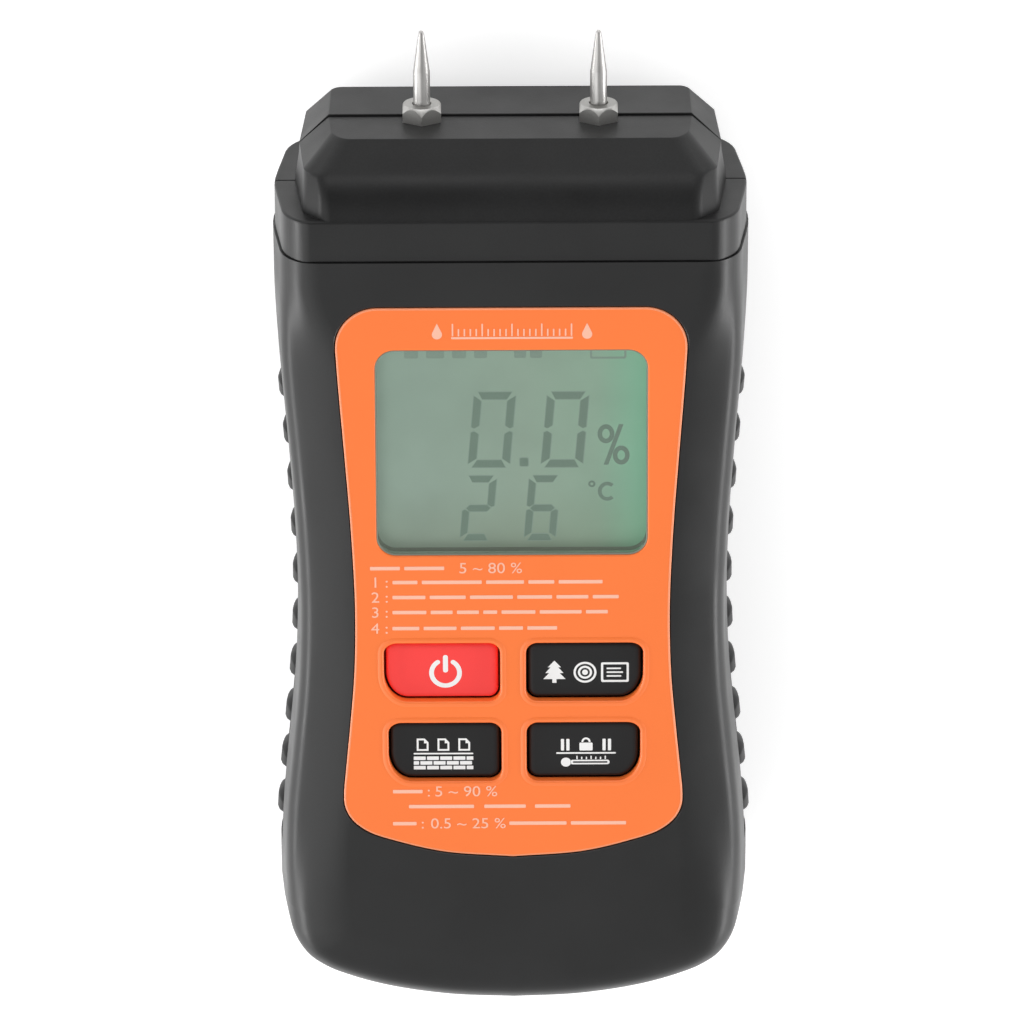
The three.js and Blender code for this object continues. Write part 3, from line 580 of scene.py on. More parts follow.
def wall_inset(i, ys):
    """Inset at level i for the stations ys: the corner is tight at the neck, creased at the waist and widest at the bottom."""
    w = smooth(42, 27, ys)
    b = smooth(-40, -60, ys)
    d = D_NECK[i] * (1 - w) + D_WAIST[i] * w
    return d * (1 - b) + D_LOW[i] * b


def half_body(name, sign, scale=1.0, extra=0.0, gap=0.07, y=Y_LEDGE, stop=99.0):
    rings = []
    ys = BODY_RUN[:, 1]
    first = True
    for i, h in enumerate(H):
        z = h * scale
        if z > stop:
            break
        z = max(z, gap)
        d = wall_inset(i, ys) + extra
        if first and extra == 0.0:
            d = d + 0.13  # a small chamfer makes the parting line
        first = False
        rings.append((ZS + sign * z, body_ring(d, y)))
    # the flat in the middle is carried on towards the centre, so that no wide face ends on a visible edge
    middle = np.array([0.0, -10.0])
    rings.append((rings[-1][0], middle + (rings[-1][1] - middle) * 0.35))
    return stack(name, rings)


def fillet_poly(points, radii, n=5):
    """Open polyline with rounded corners, always with the same number of points."""
    p = [np.array(q, float) for q in points]
    out = [p[0]]
    for i in range(1, len(p) - 1):
        a, b, c = p[i - 1], p[i], p[i + 1]
        u, v = a - b, c - b
        lu, lv = np.linalg.norm(u), np.linalg.norm(v)
        r = min(radii[i - 1], 0.45 * lu, 0.45 * lv)
        s, e = b + u / lu * r, b + v / lv * r
        for k in range(n + 1):
            t = k / n
            out.append((1 - t) ** 2 * s + 2 * t * (1 - t) * b + t * t * e)
    out.append(p[-1])
    return np.array(out)


def head_section(w, p1, p2, h, sign, base=0.05, ch=0.10, r=0.7):
    """w: half width at the parting plane, p1 and p2: (x, height) of the corner facet's two creases, h: height in the middle."""
    right = fillet_poly([(w - ch, base), (w, base + ch + 0.02), p1, p2, (p2[0] * 0.5, h)], [0.02, r, r])
    right = np.concatenate([right[:-1], [right[-1]], [(0.0, h + 0.02)]])
    pts = np.concatenate([right, (right[:-1] * [-1, 1])[::-1]])
    return np.stack([pts[:, 0], ZS + sign * pts[:, 1]], 1)


def half_head(name, sign, k, tip, foot, y_end):
    """The head block: end face, bevels whose creases are slightly rounded, and a face that swells towards the shoulder."""
    w_tip, w_foot, w_base = 25.8, 29.9, 30.6
    p1t, p2t, ht = tip
    p1f, p2f, hf = foot
    base1, base2, hb = (29.3, 12.6 * k), (26.3, 15.8 * k), 16.0 * k
    ys = [60.9, 60.82, 60.62, 60.0, 59.2, 58.4, 57.8, 57.4, 57.1, 56.7, 56.1, 55.3, 54.4, 53.5, 52.6, 51.8, 51.0, 49.5]
    # the crease heights fall away in a curve on the front, and in two flats behind
    if sign > 0:
        top = np.interp(ys, [49.5, 51.0, 52.3, 53.5, 54.6, 55.6, 56.5, 57.3, 58.1, 59.0, 59.9, 60.62, 60.82, 60.9], [hb + 0.03, hb, hb - 0.08, hb - 0.26, hb - 0.56, hb - 1.00, hb - 1.60, hb - 2.35, hb - 3.30, hb - 4.50, hb - 5.75, ht + 0.10, ht - 0.10, ht - 0.28])
    else:
        top = np.interp(ys, [49.5, 51.0, 57.1, 57.8, 60.62, 60.82, 60.9], [hb, hb, hf + 0.1, hf - 0.6, ht + 0.1, ht - 0.1, ht - 0.28])
    secs = []
    for y, h in zip(ys, top):
        t = float(np.clip((60.82 - y) / (60.82 - 57.1), 0, 1))
        s = float(smooth(57.1, 51.0, y))
        edge = 0.14 if y > 60.87 else 0.0
        w = w_tip + (w_foot - w_tip) * t + (w_base - w_foot) * s - edge
        p1 = np.array(p1t) * (1 - t) + np.array(p1f) * t
        p1 = p1 * (1 - s) + np.array(base1) * s
        p2x = (p2t[0] * (1 - t) + p2f[0] * t) * (1 - s) + base2[0] * s
        p1h = min(p1[1], h - 0.9)
        yy = 60.9 + (y_end - 60.9) * float(np.clip((y - 57.1) / 3.8, 0, 1))
        secs.append((y + (yy - 60.9), head_section(w, (p1[0] - edge, p1h - edge), (p2x - edge, h - 0.04), h, sign, base=0.09 + edge * 0.6, r=1.15 if sign > 0 else 0.5)))
    return stack_y(name, secs)


def neck_band(name, sign, k):
    ys = np.array([Y_LEDGE])
    secs = []
    for y, inset, top in ((Y_LEDGE - 1.5, 0.55, 0.0), (Y_LEDGE + 0.10, 0.55, 0.0), (Y_LEDGE + 0.16, 0.36, 0.0), (Y_LEDGE + 0.3, 0.30, 0), (Y_SHOULDER - 0.45, 0.30, 0.0), (Y_SHOULDER - 0.2, 0.36, 0.05), (Y_SHOULDER - 0.05, 0.50, 0.16), (Y_SHOULDER, 0.68, 0.32)):
        open_ = 0.16 if y > Y_SHOULDER - 0.3 else 0.09
        right = [(33.85 - inset - 0.13, open_), (33.85 - inset, open_ + 0.15)]
        for i, h in enumerate(H[2:], start=2):
            d = D_NECK[i]
            right.append((33.85 - inset - d, min(h, 16.5 - 0.3 * (inset / 0.3) * 0.9) * k - top))
        right = np.array(right)
        pts = np.concatenate([right, (right * [-1, 1])[::-1]])
        secs.append((y, np.stack([pts[:, 0], ZS + sign * pts[:, 1]], 1)))
    return stack_y(name, secs)


def plate_ring(d):
    c = arc(24.87 - PLATE_CORNER, PLATE_TOP_Y - PLATE_CORNER, PLATE_CORNER, PLATE_CORNER, 90, 3.6, 24)
    run = mirrored(np.concatenate([c, spline(PLATE_HALF, 130)]))
    return inward(run, d, True)


def key_ring(k, g):
    x0, x1, y0, y1, side = k
    w, h = x1 - x0, y1 - y0
    p = np.concatenate([
        arc(w / 2 - 1.9, h / 2 - 1.6, 1.9 + g, 1.6 + g, 0, 90, 9),
        arc(-w / 2 + 1.7, h / 2 - 1.6, 1.7 + g, 1.6 + g, 90, 180, 9),
        arc(-w / 2 + 1.7, -h / 2 + 1.7, 1.7 + g, 1.7 + g, 180, 270, 9),
        arc(w / 2 - 3.4, -h / 2 + 4.3, 3.4 + g, 4.3 + g, 270, 360, 14)])
    q = np.stack([(x0 + x1) / 2 + side * p[:, 0], (y0 + y1) / 2 + p[:, 1]], 1)
    return q if side > 0 else q[::-1]


def ring_loft(name, outline, profile, mat=None):
    """A closed band that follows an outline: profile is a closed loop of (grow, z), outline(grow) gives the ring."""
    return make(name, *loft_data([lift(outline(g), z) for g, z in profile], True), mat)


# the wall between two stations, for the grips
FINE = mirrored(spline(BODY_HALF, 700))


def wall_path(side, d, ys):
    run = inward(FINE, d)
    run = run[(side * run[:, 0] > 20) & (run[:, 1] > -62)]
    order = np.argsort(run[:, 1])
    return np.interp(ys, run[order, 1], run[order, 0])


def draft_at(z):
    return abs(z - ZS) * 0.35 / 4.5


def grip_strip(name, side, y0, y1, z0, z1, outer, deep, n=70, soft=0.0):
    ys = np.linspace(y0, y1, n + 1)
    rings = []
    levels = [(z0, soft), (z0 + soft * 0.4, soft * 0.3), (z0 + soft, 0.0), (ZS, 0.0), (z1 - soft, 0.0), (z1 - soft * 0.4, soft * 0.3), (z1, soft)] if soft else [(z0, 0), (ZS, 0), (z1, 0)]
    for z, s in levels:
        a = np.stack([wall_path(side, draft_at(z) - outer + s, ys), ys], 1)
        b = np.stack([wall_path(side, deep, ys), ys], 1)[::-1]
        rings.append((z, np.concatenate([a, b])))
    return stack(name, rings)


# ------------------------------------------------------------------ front shell
def head_finish(o):
    """The head block carries a coarser grain than the rest of the shell and less sheen, which makes it look slightly
    darker: painted shade on the same plastic.
    """
    o.data.materials.append(M["casing_head_shaded"])
    for f in o.data.polygons:
        if f.center.y > 51.02 * MM:
            f.material_index = 1


def cutters_for_grips():
    return [grip_strip("c", s, GRIP["y0"] - 0.12, GRIP["y1"] + 0.12, GRIP["z0"] - 0.12, GRIP["z1"] + 0.12, 1.5, GRIP["deep"] + 0.12) for s in (-1, 1)]


front = half_body("front_casing", 1)
boolean(front, neck_band("t", 1, 1.0), "UNION")
boolean(front, half_head("t", 1, 1.0, ((25.15, 7.0), (23.5, 9.1), 9.15), ((29.05, 11.3), (26.5, 13.6), 13.9), 60.9), "UNION")
hollow_rings = [(ZS - 1, body_ring(2.2, 44.0)), (ZS + 5, body_ring(2.6, 44.0)), (ZS + 10.6, body_ring(3.7, 44.0)), (30.6, body_ring(6.6, 44.0))]
tools = [stack("t", hollow_rings), box("t", -27.1, 27.1, 43, 57.0, 16, 29.6)]
boolean(front, tools)
adds = [rod("t", x, y, ZS + 0.05, 31.2, 3.5) for x, y in SHELL_SCREWS] + [box("t", s * PIN_X - 5.6, s * PIN_X + 5.6, 52.6, 57.2, ZS + 0.05, 30) for s in (-1, 1)]
boolean(front, adds, "UNION")
tools = cutters_for_grips()
# the faceplate's seat, with a softened mouth
tools.append(stack("t", [(32.6, plate_ring(-0.14)), (33.80, plate_ring(-0.15)), (33.92, plate_ring(-0.22)), (34.0, plate_ring(-0.34)), (36, plate_ring(-0.5))]))
tools.append(stack("t", [(29, round_rect(39.8, 32.6, 3.2, 0, WIN["y"])), (33, round_rect(39.8, 32.6, 3.2, 0, WIN["y"]))]))
tools.append(stack("t", [(31.55, round_rect(43.0, 35.8, 2.5, 0, WIN["y"])), (33, round_rect(43.0, 35.8, 2.5, 0, WIN["y"]))]))
for k in KEYS.values():
    tools.append(stack("t", [(29, key_ring(k, 0.1)), (33, key_ring(k, 0.1))]))
for x, y in SHELL_SCREWS:
    tools.append(rod("t", x, y, 16, 27, 1.3))
for s in (-1, 1):
    tools.append(lathe_y("t", [(2.45, 52.0), (2.45, 62)], s * PIN_X, PIN_Z))
    tools.append(lathe_y("t", [(4.7, 54.6), (4.7, 56.4)], s * PIN_X, PIN_Z))
boolean(front, tools)
finish_piece(front, "root", M["casing"], "casing", "front_shell")
head_finish(front)

# ------------------------------------------------------------------ rear shell
K = 17.5 / 16.5
rear = half_body("rear_casing", -1, K)
boolean(rear, neck_band("t", -1, K), "UNION")
boolean(rear, half_head("t", -1, 1.0, ((25.60, 10.3), (24.7, 11.4), 11.4), ((29.2, 12.4), (26.9, 15.0), 15.2), 61.2), "UNION")
hollow_rings = [(2.2, body_ring(6.6, 44.0)), (ZS - 12.2, body_ring(3.7, 44.0)), (ZS - 5, body_ring(2.6, 44.0)), (ZS + 0.9, body_ring(2.2, 44.0))]
boolean(rear, [stack("t", hollow_rings), box("t", -27.1, 27.1, 43, 57.0, 4.6, 19)])
adds = [rod("t", x, y, 1.5, ZS - 0.05, 4.4) for x, y in SHELL_SCREWS]
adds += [box("t", s * PIN_X - 5.6, s * PIN_X + 5.6, 52.6, 57.2, 4, ZS - 0.05) for s in (-1, 1)]
adds += [box("t", -18.2, 18.2, -68.2, -2.8, 1.0, 4.2), box("t", -16.2, 16.2, -66.5, -6.5, 1.0, 21.8)]
boolean(rear, adds, "UNION")
tools = cutters_for_grips()
D0 = dict(x=16.0, y0=-65.7, y1=-5.3)
dcy = (D0["y0"] + D0["y1"]) / 2
dh = D0["y1"] - D0["y0"]
tools.append(box("t", -14.5, 14.5, -64.8, -8.2, -1, 20.4))
tools.append(stack("t", [(-1, round_rect(2 * 16.35 + 0.5, dh + 0.7 + 0.5, 2.8, 0, dcy)), (0.0, round_rect(2 * 16.35 + 0.3, dh + 0.7 + 0.3, 2.7, 0, dcy)), (0.25, round_rect(2 * 16.35, dh + 0.7, 2.6, 0, dcy)), (2.2, round_rect(2 * 16.35, dh + 0.7, 2.6, 0, dcy))]))
for s in (-1, 1):
    tools.append(box("t", s * 9 - 3.0, s * 9 + 3.0, -68.0, -64.5, 2.0, 6.2))
tools.append(box("t", -6.4, 6.4, -10.7, -8.2, 19, 23))
for x, y in SHELL_SCREWS:
    tools.append(rod("t", x, y, 0, 0, 0, profile=[(-1, 3.5), (0.0, 3.5), (0.3, 3.2), (10.0, 3.2)]))
    tools.append(rod("t", x, y, 9, 19, 1.8))
tools.append(stack("t", [(-1, round_rect(40.5, 26.5, 2.2, 0, 18)), (0.0, round_rect(40.3, 26.3, 2.1, 0, 18)), (0.35, round_rect(40, 26, 2, 0, 18))]))
for s in (-1, 1):
    tools.append(lathe_y("t", [(2.45, 52.0), (2.45, 62)], s * PIN_X, PIN_Z))
    tools.append(lathe_y("t", [(4.7, 54.6), (4.7, 56.4)], s * PIN_X, PIN_Z))
boolean(rear, tools)
finish_piece(rear, "root", M["casing"], "casing", "rear_shell")
head_finish(rear)

# ------------------------------------------------------------------ side grips with their ribs
def rib(name, side, y):
    """A lens-shaped rib across the wall: pointed towards both ends, with a flat crown."""
    nu, nv = 16, 34
    zc, zh = 16.35, 4.45
    rows = []
    for j in range(nv + 1):
        v = -1 + 2 * j / nv
        v = math.sin(v * math.pi / 2)
        z = zc + zh * v
        wide = max(0.02, (1 - abs(v) ** 2.6)) ** 0.5
        ys = y + RIB_HALF * wide * np.linspace(-1, 1, nu + 1)
        wall = wall_path(side, draft_at(z), ys)
        u = np.linspace(-1, 1, nu + 1)
        proud = (RIB_PROUD + 0.55) * np.clip((1 - np.abs(u)) / 0.42, 0, 1) ** 0.8 * wide ** 0.9
        outer = np.stack([wall + side * (proud - 0.55), ys], 1)
        inner = np.stack([wall - side * 0.8, ys], 1)[::-1]
        rows.append(lift(np.concatenate([outer, inner]), z))
    return make(name, *loft_data(rows))


for name, s in (("left_grip", -1), ("right_grip", 1)):
    g = grip_strip(name + "_moulding", s, GRIP["y0"], GRIP["y1"], GRIP["z0"], GRIP["z1"], -0.48, GRIP["deep"], soft=0.15)
    boolean(g, [rib("t", s, RIB_Y0 - i * RIB_PITCH) for i in range(RIBS)], "UNION")
    finish_piece(g, "root", M["grip"], "grip_rubber", name, angle=35)

# ------------------------------------------------------------------ faceplate
plate = stack("faceplate_film", [(32.65, plate_ring(0)), (33.70, plate_ring(0)), (33.84, plate_ring(0.05)), (33.93, plate_ring(0.17)), (33.95, plate_ring(0.32))])
tools = [stack("t", [(30, round_rect(WIN["w"], WIN["h"], WIN["r"], 0, WIN["y"])), (33.70, round_rect(WIN["w"], WIN["h"], WIN["r"], 0, WIN["y"])),
                     (33.85, round_rect(WIN["w"] + 0.12, WIN["h"] + 0.12, WIN["r"] + 0.06, 0, WIN["y"])), (33.95, round_rect(WIN["w"] + 0.4, WIN["h"] + 0.4, WIN["r"] + 0.2, 0, WIN["y"])),
                     (36, round_rect(WIN["w"] + 0.8, WIN["h"] + 0.8, WIN["r"] + 0.4, 0, WIN["y"]))])]
for k in KEYS.values():
    tools.append(stack("t", [(30, key_ring(k, 0.0)), (36, key_ring(k, 0.0))]))
boolean(plate, tools)
finish_piece(plate, "root", M["plate"], "faceplate", "faceplate", angle=40)
# a thin band round the faceplate's edge in the lighter orange: painted highlight along the bevel
edge_highlight_band = ring_loft("faceplate_edge_highlight", lambda g: plate_ring(-g), [(0.03, 33.3), (0.03, 33.80), (-0.01, 33.90), (-0.10, 33.965), (-0.20, 33.975), (-0.28, 33.94), (-0.28, 33.3)])
finish_piece(edge_highlight_band, "root", M["edge"], "faceplate", angle=50)
for name, k in KEYS.items():
    prof = [(0.02, 33.2), (0.02, 33.84), (0.09, 33.98), (0.20, 34.05), (0.36, 34.075), (0.52, 34.06), (0.70, 34.015), (0.84, 33.96), (0.92, 33.90), (0.92, 33.2)]
    r = ring_loft(name + "_rim", lambda g, k=k: key_ring(k, g), prof)
    finish_piece(r, "root", M["rim"], "faceplate", angle=50)

# ------------------------------------------------------------------ display: lens, glass, segments
lens = stack("display_window", [(32.75, round_rect(38.4, 31.2, 2.65, 0, WIN["y"])), (33.35, round_rect(38.4, 31.2, 2.65, 0, WIN["y"])), (33.45, round_rect(38.2, 31.0, 2.6, 0, WIN["y"]))])
finish_piece(lens, "root", M["lens"], "lens", "display_lens", angle=40)
LCD_Z = 31.3
# the window's inner wall, carrying a painted glow
wall = make("display_window_edge", *loft_data([lift(round_rect(38.68 - 2 * g, 31.68 - 2 * g, 2.8 - g, 0, WIN["y"]), zz) for g, zz in [(0.0, 31.32), (0.0, 33.62), (0.05, 33.70), (0.16, 33.62), (0.20, 33.4), (0.20, 31.32)]], True))
finish_piece(wall, "root", M["window_edge_painted_bright"], "lens", angle=50)
lcd = stack("display_glass", [(30.0, round_rect(39.4, 32.2, 0.6, 0, WIN["y"], 4)), (LCD_Z - 0.06, round_rect(39.4, 32.2, 0.6, 0, WIN["y"], 4)), (LCD_Z, round_rect(39.28, 32.08, 0.6, 0, WIN["y"], 4))])
finish_piece(lcd, "root", M["lcd"], "display", "lcd_glass", angle=40)


def prints(name, loops, z, thick, mat, body):
    """Flat shapes with thickness: loops are closed outlines in mm; a loop inside another is a hole."""
    cu = bpy.data.curves.new(name, "CURVE")
    cu.dimensions = "2D"
    cu.fill_mode = "BOTH"
    cu.extrude = thick / 2 * MM
    for lp in loops:
        lp = np.asarray(lp, float)
        sp = cu.splines.new("POLY")
        sp.points.add(len(lp) - 1)
        for q, (x, y) in zip(sp.points, lp):
            q.co = (x * MM, y * MM, 0, 1)
        sp.use_cyclic_u = True
    tmp = bpy.data.objects.new(name + "_c", cu)
    bpy.context.scene.collection.objects.link(tmp)
    dg = bpy.context.evaluated_depsgraph_get()
    me = bpy.data.meshes.new_from_object(tmp.evaluated_get(dg))
    bpy.data.objects.remove(tmp)
    me.transform(Matrix.Translation((0, 0, (z + thick / 2) * MM)))
    o = bpy.data.objects.new(name, me)
    bpy.context.scene.collection.objects.link(o)
    me.materials.clear()
    me.materials.append(mat)
    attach(o, body)
    return o


def text_loops(text, x, y, height, align="LEFT", squeeze=1.0, spacing=1.0):
    """Outlines of a line of numerals and signs in the built-in face, cap height in mm, as a list of loops."""
    cu = bpy.data.curves.new("t", "FONT")
    cu.body = text
    cu.size = 1.0
    cu.space_character = spacing
    cu.align_x = align
    cu.resolution_u = 6
    tmp = bpy.data.objects.new("t", cu)
    bpy.context.scene.collection.objects.link(tmp)
    dg = bpy.context.evaluated_depsgraph_get()
    me = bpy.data.meshes.new_from_object(tmp.evaluated_get(dg))
    bpy.data.objects.remove(tmp)
    # boundary loops of the filled text
    count = {}
    for p in me.polygons:
        vs = list(p.vertices)
        for a, b in zip(vs, vs[1:] + vs[:1]):
            count.setdefault((min(a, b), max(a, b)), []).append((a, b))
    nxt = {}
    for e in count.values():
        if len(e) == 1:
            a, b = e[0]
            nxt[a] = b
    loops, seen = [], set()
    co = [v.co.copy() for v in me.vertices]
    for a in list(nxt):
        if a in seen:
            continue
        lp, c = [], a
        while c in nxt and c not in seen:
            seen.add(c)
            lp.append((co[c].x, co[c].y))
            c = nxt[c]
        if len(lp) > 2:
            loops.append(np.array(lp))
    bpy.data.meshes.remove(me)
    s = height / 0.73
    return [lp * [s * squeeze, s] + [x, y] for lp in loops]


# seven-segment digits, slanted to the right
def seg_digit(ch, x, y, w, h, t, slant=0.085, gap=0.10):
    on = {"0": "abcdef", "1": "bc", "2": "abged", "3": "abgcd", "4": "fgbc", "5": "afgcd", "6": "afgcde", "7": "abc", "8": "abcdefg", "9": "abcfgd"}[ch]
    hh = h / 2
    c = t * 0.42

    def hseg(yy, up):
        if up == 0:
            return [(c + gap, yy), (t * 0.9 + gap, yy + t / 2), (w - t * 0.9 - gap, yy + t / 2), (w - c - gap, yy), (w - t * 0.9 - gap, yy - t / 2), (t * 0.9 + gap, yy - t / 2)]
        if up > 0:
            return [(c + gap, yy), (w - c - gap, yy), (w - t - gap, yy - t), (t + gap, yy - t)]
        return [(c + gap, yy), (w - c - gap, yy), (w - t - gap, yy + t), (t + gap, yy + t)]

    def vseg(left, low):
        a, b = (0 + c + gap, hh - gap - t * 0.1) if low else (hh + gap + t * 0.1, h - c - gap)
        if left:
            if low:
                pts = [(0, a), (t, a + t * 0.7), (t, b - t * 0.4), (t * 0.4, b), (0, b - t * 0.2)]
            else:
                pts = [(0, b), (t, b - t * 0.7), (t, a + t * 0.4), (t * 0.4, a), (0, a + t * 0.2)]
        else:
            if low:
                pts = [(w, a), (w - t, a + t * 0.7), (w - t, b - t * 0.4), (w - t * 0.4, b), (w, b - t * 0.2)]
            else:
                pts = [(w, b), (w - t, b - t * 0.7), (w - t, a + t * 0.4), (w - t * 0.4, a), (w, a + t * 0.2)]
        return pts

    shapes = {"a": hseg(h, 1), "d": hseg(0, -1), "g": hseg(hh, 0), "f": vseg(True, False), "e": vseg(True, True), "b": vseg(False, False), "c": vseg(False, True)}
    return [np.array([(x + px + slant * py, y + py) for px, py in shapes[s]]) for s in on]


z = LCD_Z


def percent(x, y, w, h):
    """The two ovals of a heavy percent sign; its bar comes from percent_bar."""
    r = h * 0.235
    out = []
    for cx, cy in ((x + w * 0.27, y + h - r), (x + w * 0.73, y + r)):
        out += [arc(cx, cy, w * 0.255, r, 0, 360, 28)[:-1], arc(cx, cy, w * 0.115, r * 0.52, 360, 0, 28)[:-1]]
    return out


def percent_bar(x, y, w, h):
    return [np.array([(x + w * 0.20, y), (x + w * 0.34, y), (x + w * 0.80, y + h), (x + w * 0.66, y + h)])]


def celsius(x, y, h):
    o = [arc(x + 0.55, y + h - 0.5, 0.52, 0.52, 0, 360, 20)[:-1], arc(x + 0.55, y + h - 0.5, 0.22, 0.22, 360, 0, 20)[:-1]]
    cx, cy, r, w = x + 2.75, y + h / 2 - 0.1, h * 0.47, 0.55
    o.append(np.concatenate([arc(cx, cy, r * 0.92, r, 48, 312, 30), arc(cx, cy, r * 0.92 - w, r - w, 312, 48, 30)]))
    return o


def display_shapes(grow):
    """The reading and its units; grow widens every stroke (mm), for the soft surround of each mark, which is painted
    shadow that the marks cast on the glass behind them.
    """
    seg = []
    g = grow
    x, y = at(468, 467, z)
    dw, dhh = dims(41, z), dims(74, z) / math.cos(ELEV)
    seg += seg_digit("0", x - g, y - g, dw + 2 * g, dhh + 2 * g, 1.05 + 2 * g, gap=0.14 - g)
    x, y = at(541, 467, z)
    seg += seg_digit("0", x - g, y - g, dw + 2 * g, dhh + 2 * g, 1.05 + 2 * g, gap=0.14 - g)
    x, y = at(524, 462, z)
    seg.append(round_rect(1.1 + 2 * g, 1.2 + 2 * g, 0.25, x, y, 3))
    dw2, dh2 = dims(31, z), dims(64, z) / math.cos(ELEV)
    for ch, px in (("2", 460), ("6", 524)):
        x, y = at(px, 540, z)
        seg += seg_digit(ch, x - g, y - g, dw2 + 2 * g, dh2 + 2 * g, 0.92 + 2 * g, gap=0.14 - g)
    if g == 0:
        x, y = at(597, 465, z)
        seg += percent(x, y, dims(33, z), dims(40, z) / math.cos(ELEV))
        x, y = at(588, 501, z)
        seg += celsius(x, y, dims(20, z) / math.cos(ELEV))
    return seg


# painted shadow of the marks, under the marks themselves
prints("display_segments_painted_shadow", display_shapes(0.13), LCD_Z - 0.02, 0.035, M["segment_soft"], "root")
prints("display_segments", display_shapes(0.0), LCD_Z - 0.02, 0.05, M["segment"], "root")
x, y = at(597, 465, z)
prints("display_percent_bar", percent_bar(x, y, dims(33, z), dims(40, z) / math.cos(ELEV)), LCD_Z - 0.02, 0.045, M["segment"], "root")
faint = []
for px, w in ((404, 14), (426, 18), (452, 14), (474, 13), (514, 12), (530, 12)):
    x, y = at(px, 358, z)
    faint.append(bar(x, x + dims(w, z), y, y + 1.4, 0.3))
x, y = at(590, 359, z)
faint += [bar(x, x + dims(36, z), y, y + 1.8, 0.3), bar(x + 0.3, x + dims(36, z) - 0.3, y + 0.3, y + 1.5, 0.15)]
prints("display_annunciators", faint, LCD_Z - 0.02, 0.05, M["segment_faint"], "root")

# ------------------------------------------------------------------ printing on the faceplate
PZ = 33.93
ink = []


def row(px, py, items, cap_px=11.0):
    """Items laid along a line: text pieces, word-like bars and gaps, in steps of the artwork grid. py is the baseline."""
    x, y = at(px, py, 33.95)
    capm = dims(cap_px) / math.cos(ELEV)
    for kind, v in items:
        if kind == "gap":
            x += dims(v)
        elif kind == "text":
            lp = text_loops(v, x, y, capm, squeeze=1.08)
            ink.extend(lp)
            x = max(q[:, 0].max() for q in lp) + 0.25
        elif kind == "bar":
            ink.append(bar(x, x + dims(v), y + capm * 0.30, y + capm * 0.62, 0.12, 3))
            x += dims(v) + 0.62
    return x


def ring_loops(cx, cy, r, w, n=40):
    return [arc(cx, cy, r, r, 0, 360, n)[:-1], arc(cx, cy, r - w, r - w, 360, 0, n)[:-1]]


def drop(cx, cy, r):
    """A water drop: point up."""
    a = np.radians(np.linspace(-215, 35, 30))
    p = np.stack([cx + r * np.cos(a), cy + r * np.sin(a)], 1)
    tip = [(cx + 0.28 * r, cy + 1.75 * r), (cx, cy + 2.35 * r), (cx - 0.28 * r, cy + 1.75 * r)]
    return np.concatenate([p, tip])


def poly(cx, cy, pts, s=1.0):
    return np.array([(cx + a * s, cy + b * s) for a, b in pts])


# headline: a drop on each side of a graduated bar
x, y = at(512, 332, 33.95)
cy = y
for sx in (-10.6, 10.6):
    ink.append(drop(x + sx, cy - 0.35, 0.72))
ink.append(bar(x - 8.6, x + 8.6, cy - 1.05, cy - 0.75, 0.1, 3))
for i in range(21):
    tall = 1.9 if i % 5 == 0 else 1.1
    xx = x - 8.4 + i * 0.84
    ink.append(bar(xx - 0.11, xx + 0.11, cy - 0.62, cy - 0.62 + tall, 0.08, 3))

# legend: a range, then four numbered rows of word-like bars
row(370, 573, [("bar", 30), ("bar", 40), ("gap", 10), ("text", "5 ~ 80 %")])
row(371, 587, [("text", "1 :"), ("gap", 3), ("bar", 25), ("bar", 60), ("bar", 38), ("bar", 26), ("bar", 44)])
row(371, 602, [("text", "2 :"), ("gap", 3), ("bar", 33), ("bar", 36), ("bar", 43), ("bar", 35), ("bar", 32), ("bar", 26)])
row(371, 617, [("text", "3 :"), ("gap", 3), ("bar", 34), ("bar", 22), ("bar", 22), ("bar", 14), ("bar", 34), ("bar", 42), ("bar", 22)])
row(371, 633, [("text", "4 :"), ("gap", 3), ("bar", 27), ("bar", 33), ("bar", 34), ("bar", 24), ("bar", 30)])
row(393, 796, [("bar", 30), ("text", ":"), ("gap", 3), ("text", "5 ~ 90 %")])
row(409, 811, [("bar", 66), ("gap", 6), ("bar", 42), ("gap", 5), ("bar", 36)])
row(393, 828, [("bar", 24), ("text", ":"), ("gap", 5), ("text", "0.5 ~ 25 %"), ("gap", 2), ("bar", 58), ("bar", 56)])
prints("faceplate_print", ink, PZ, 0.05, M["ink"], "root")

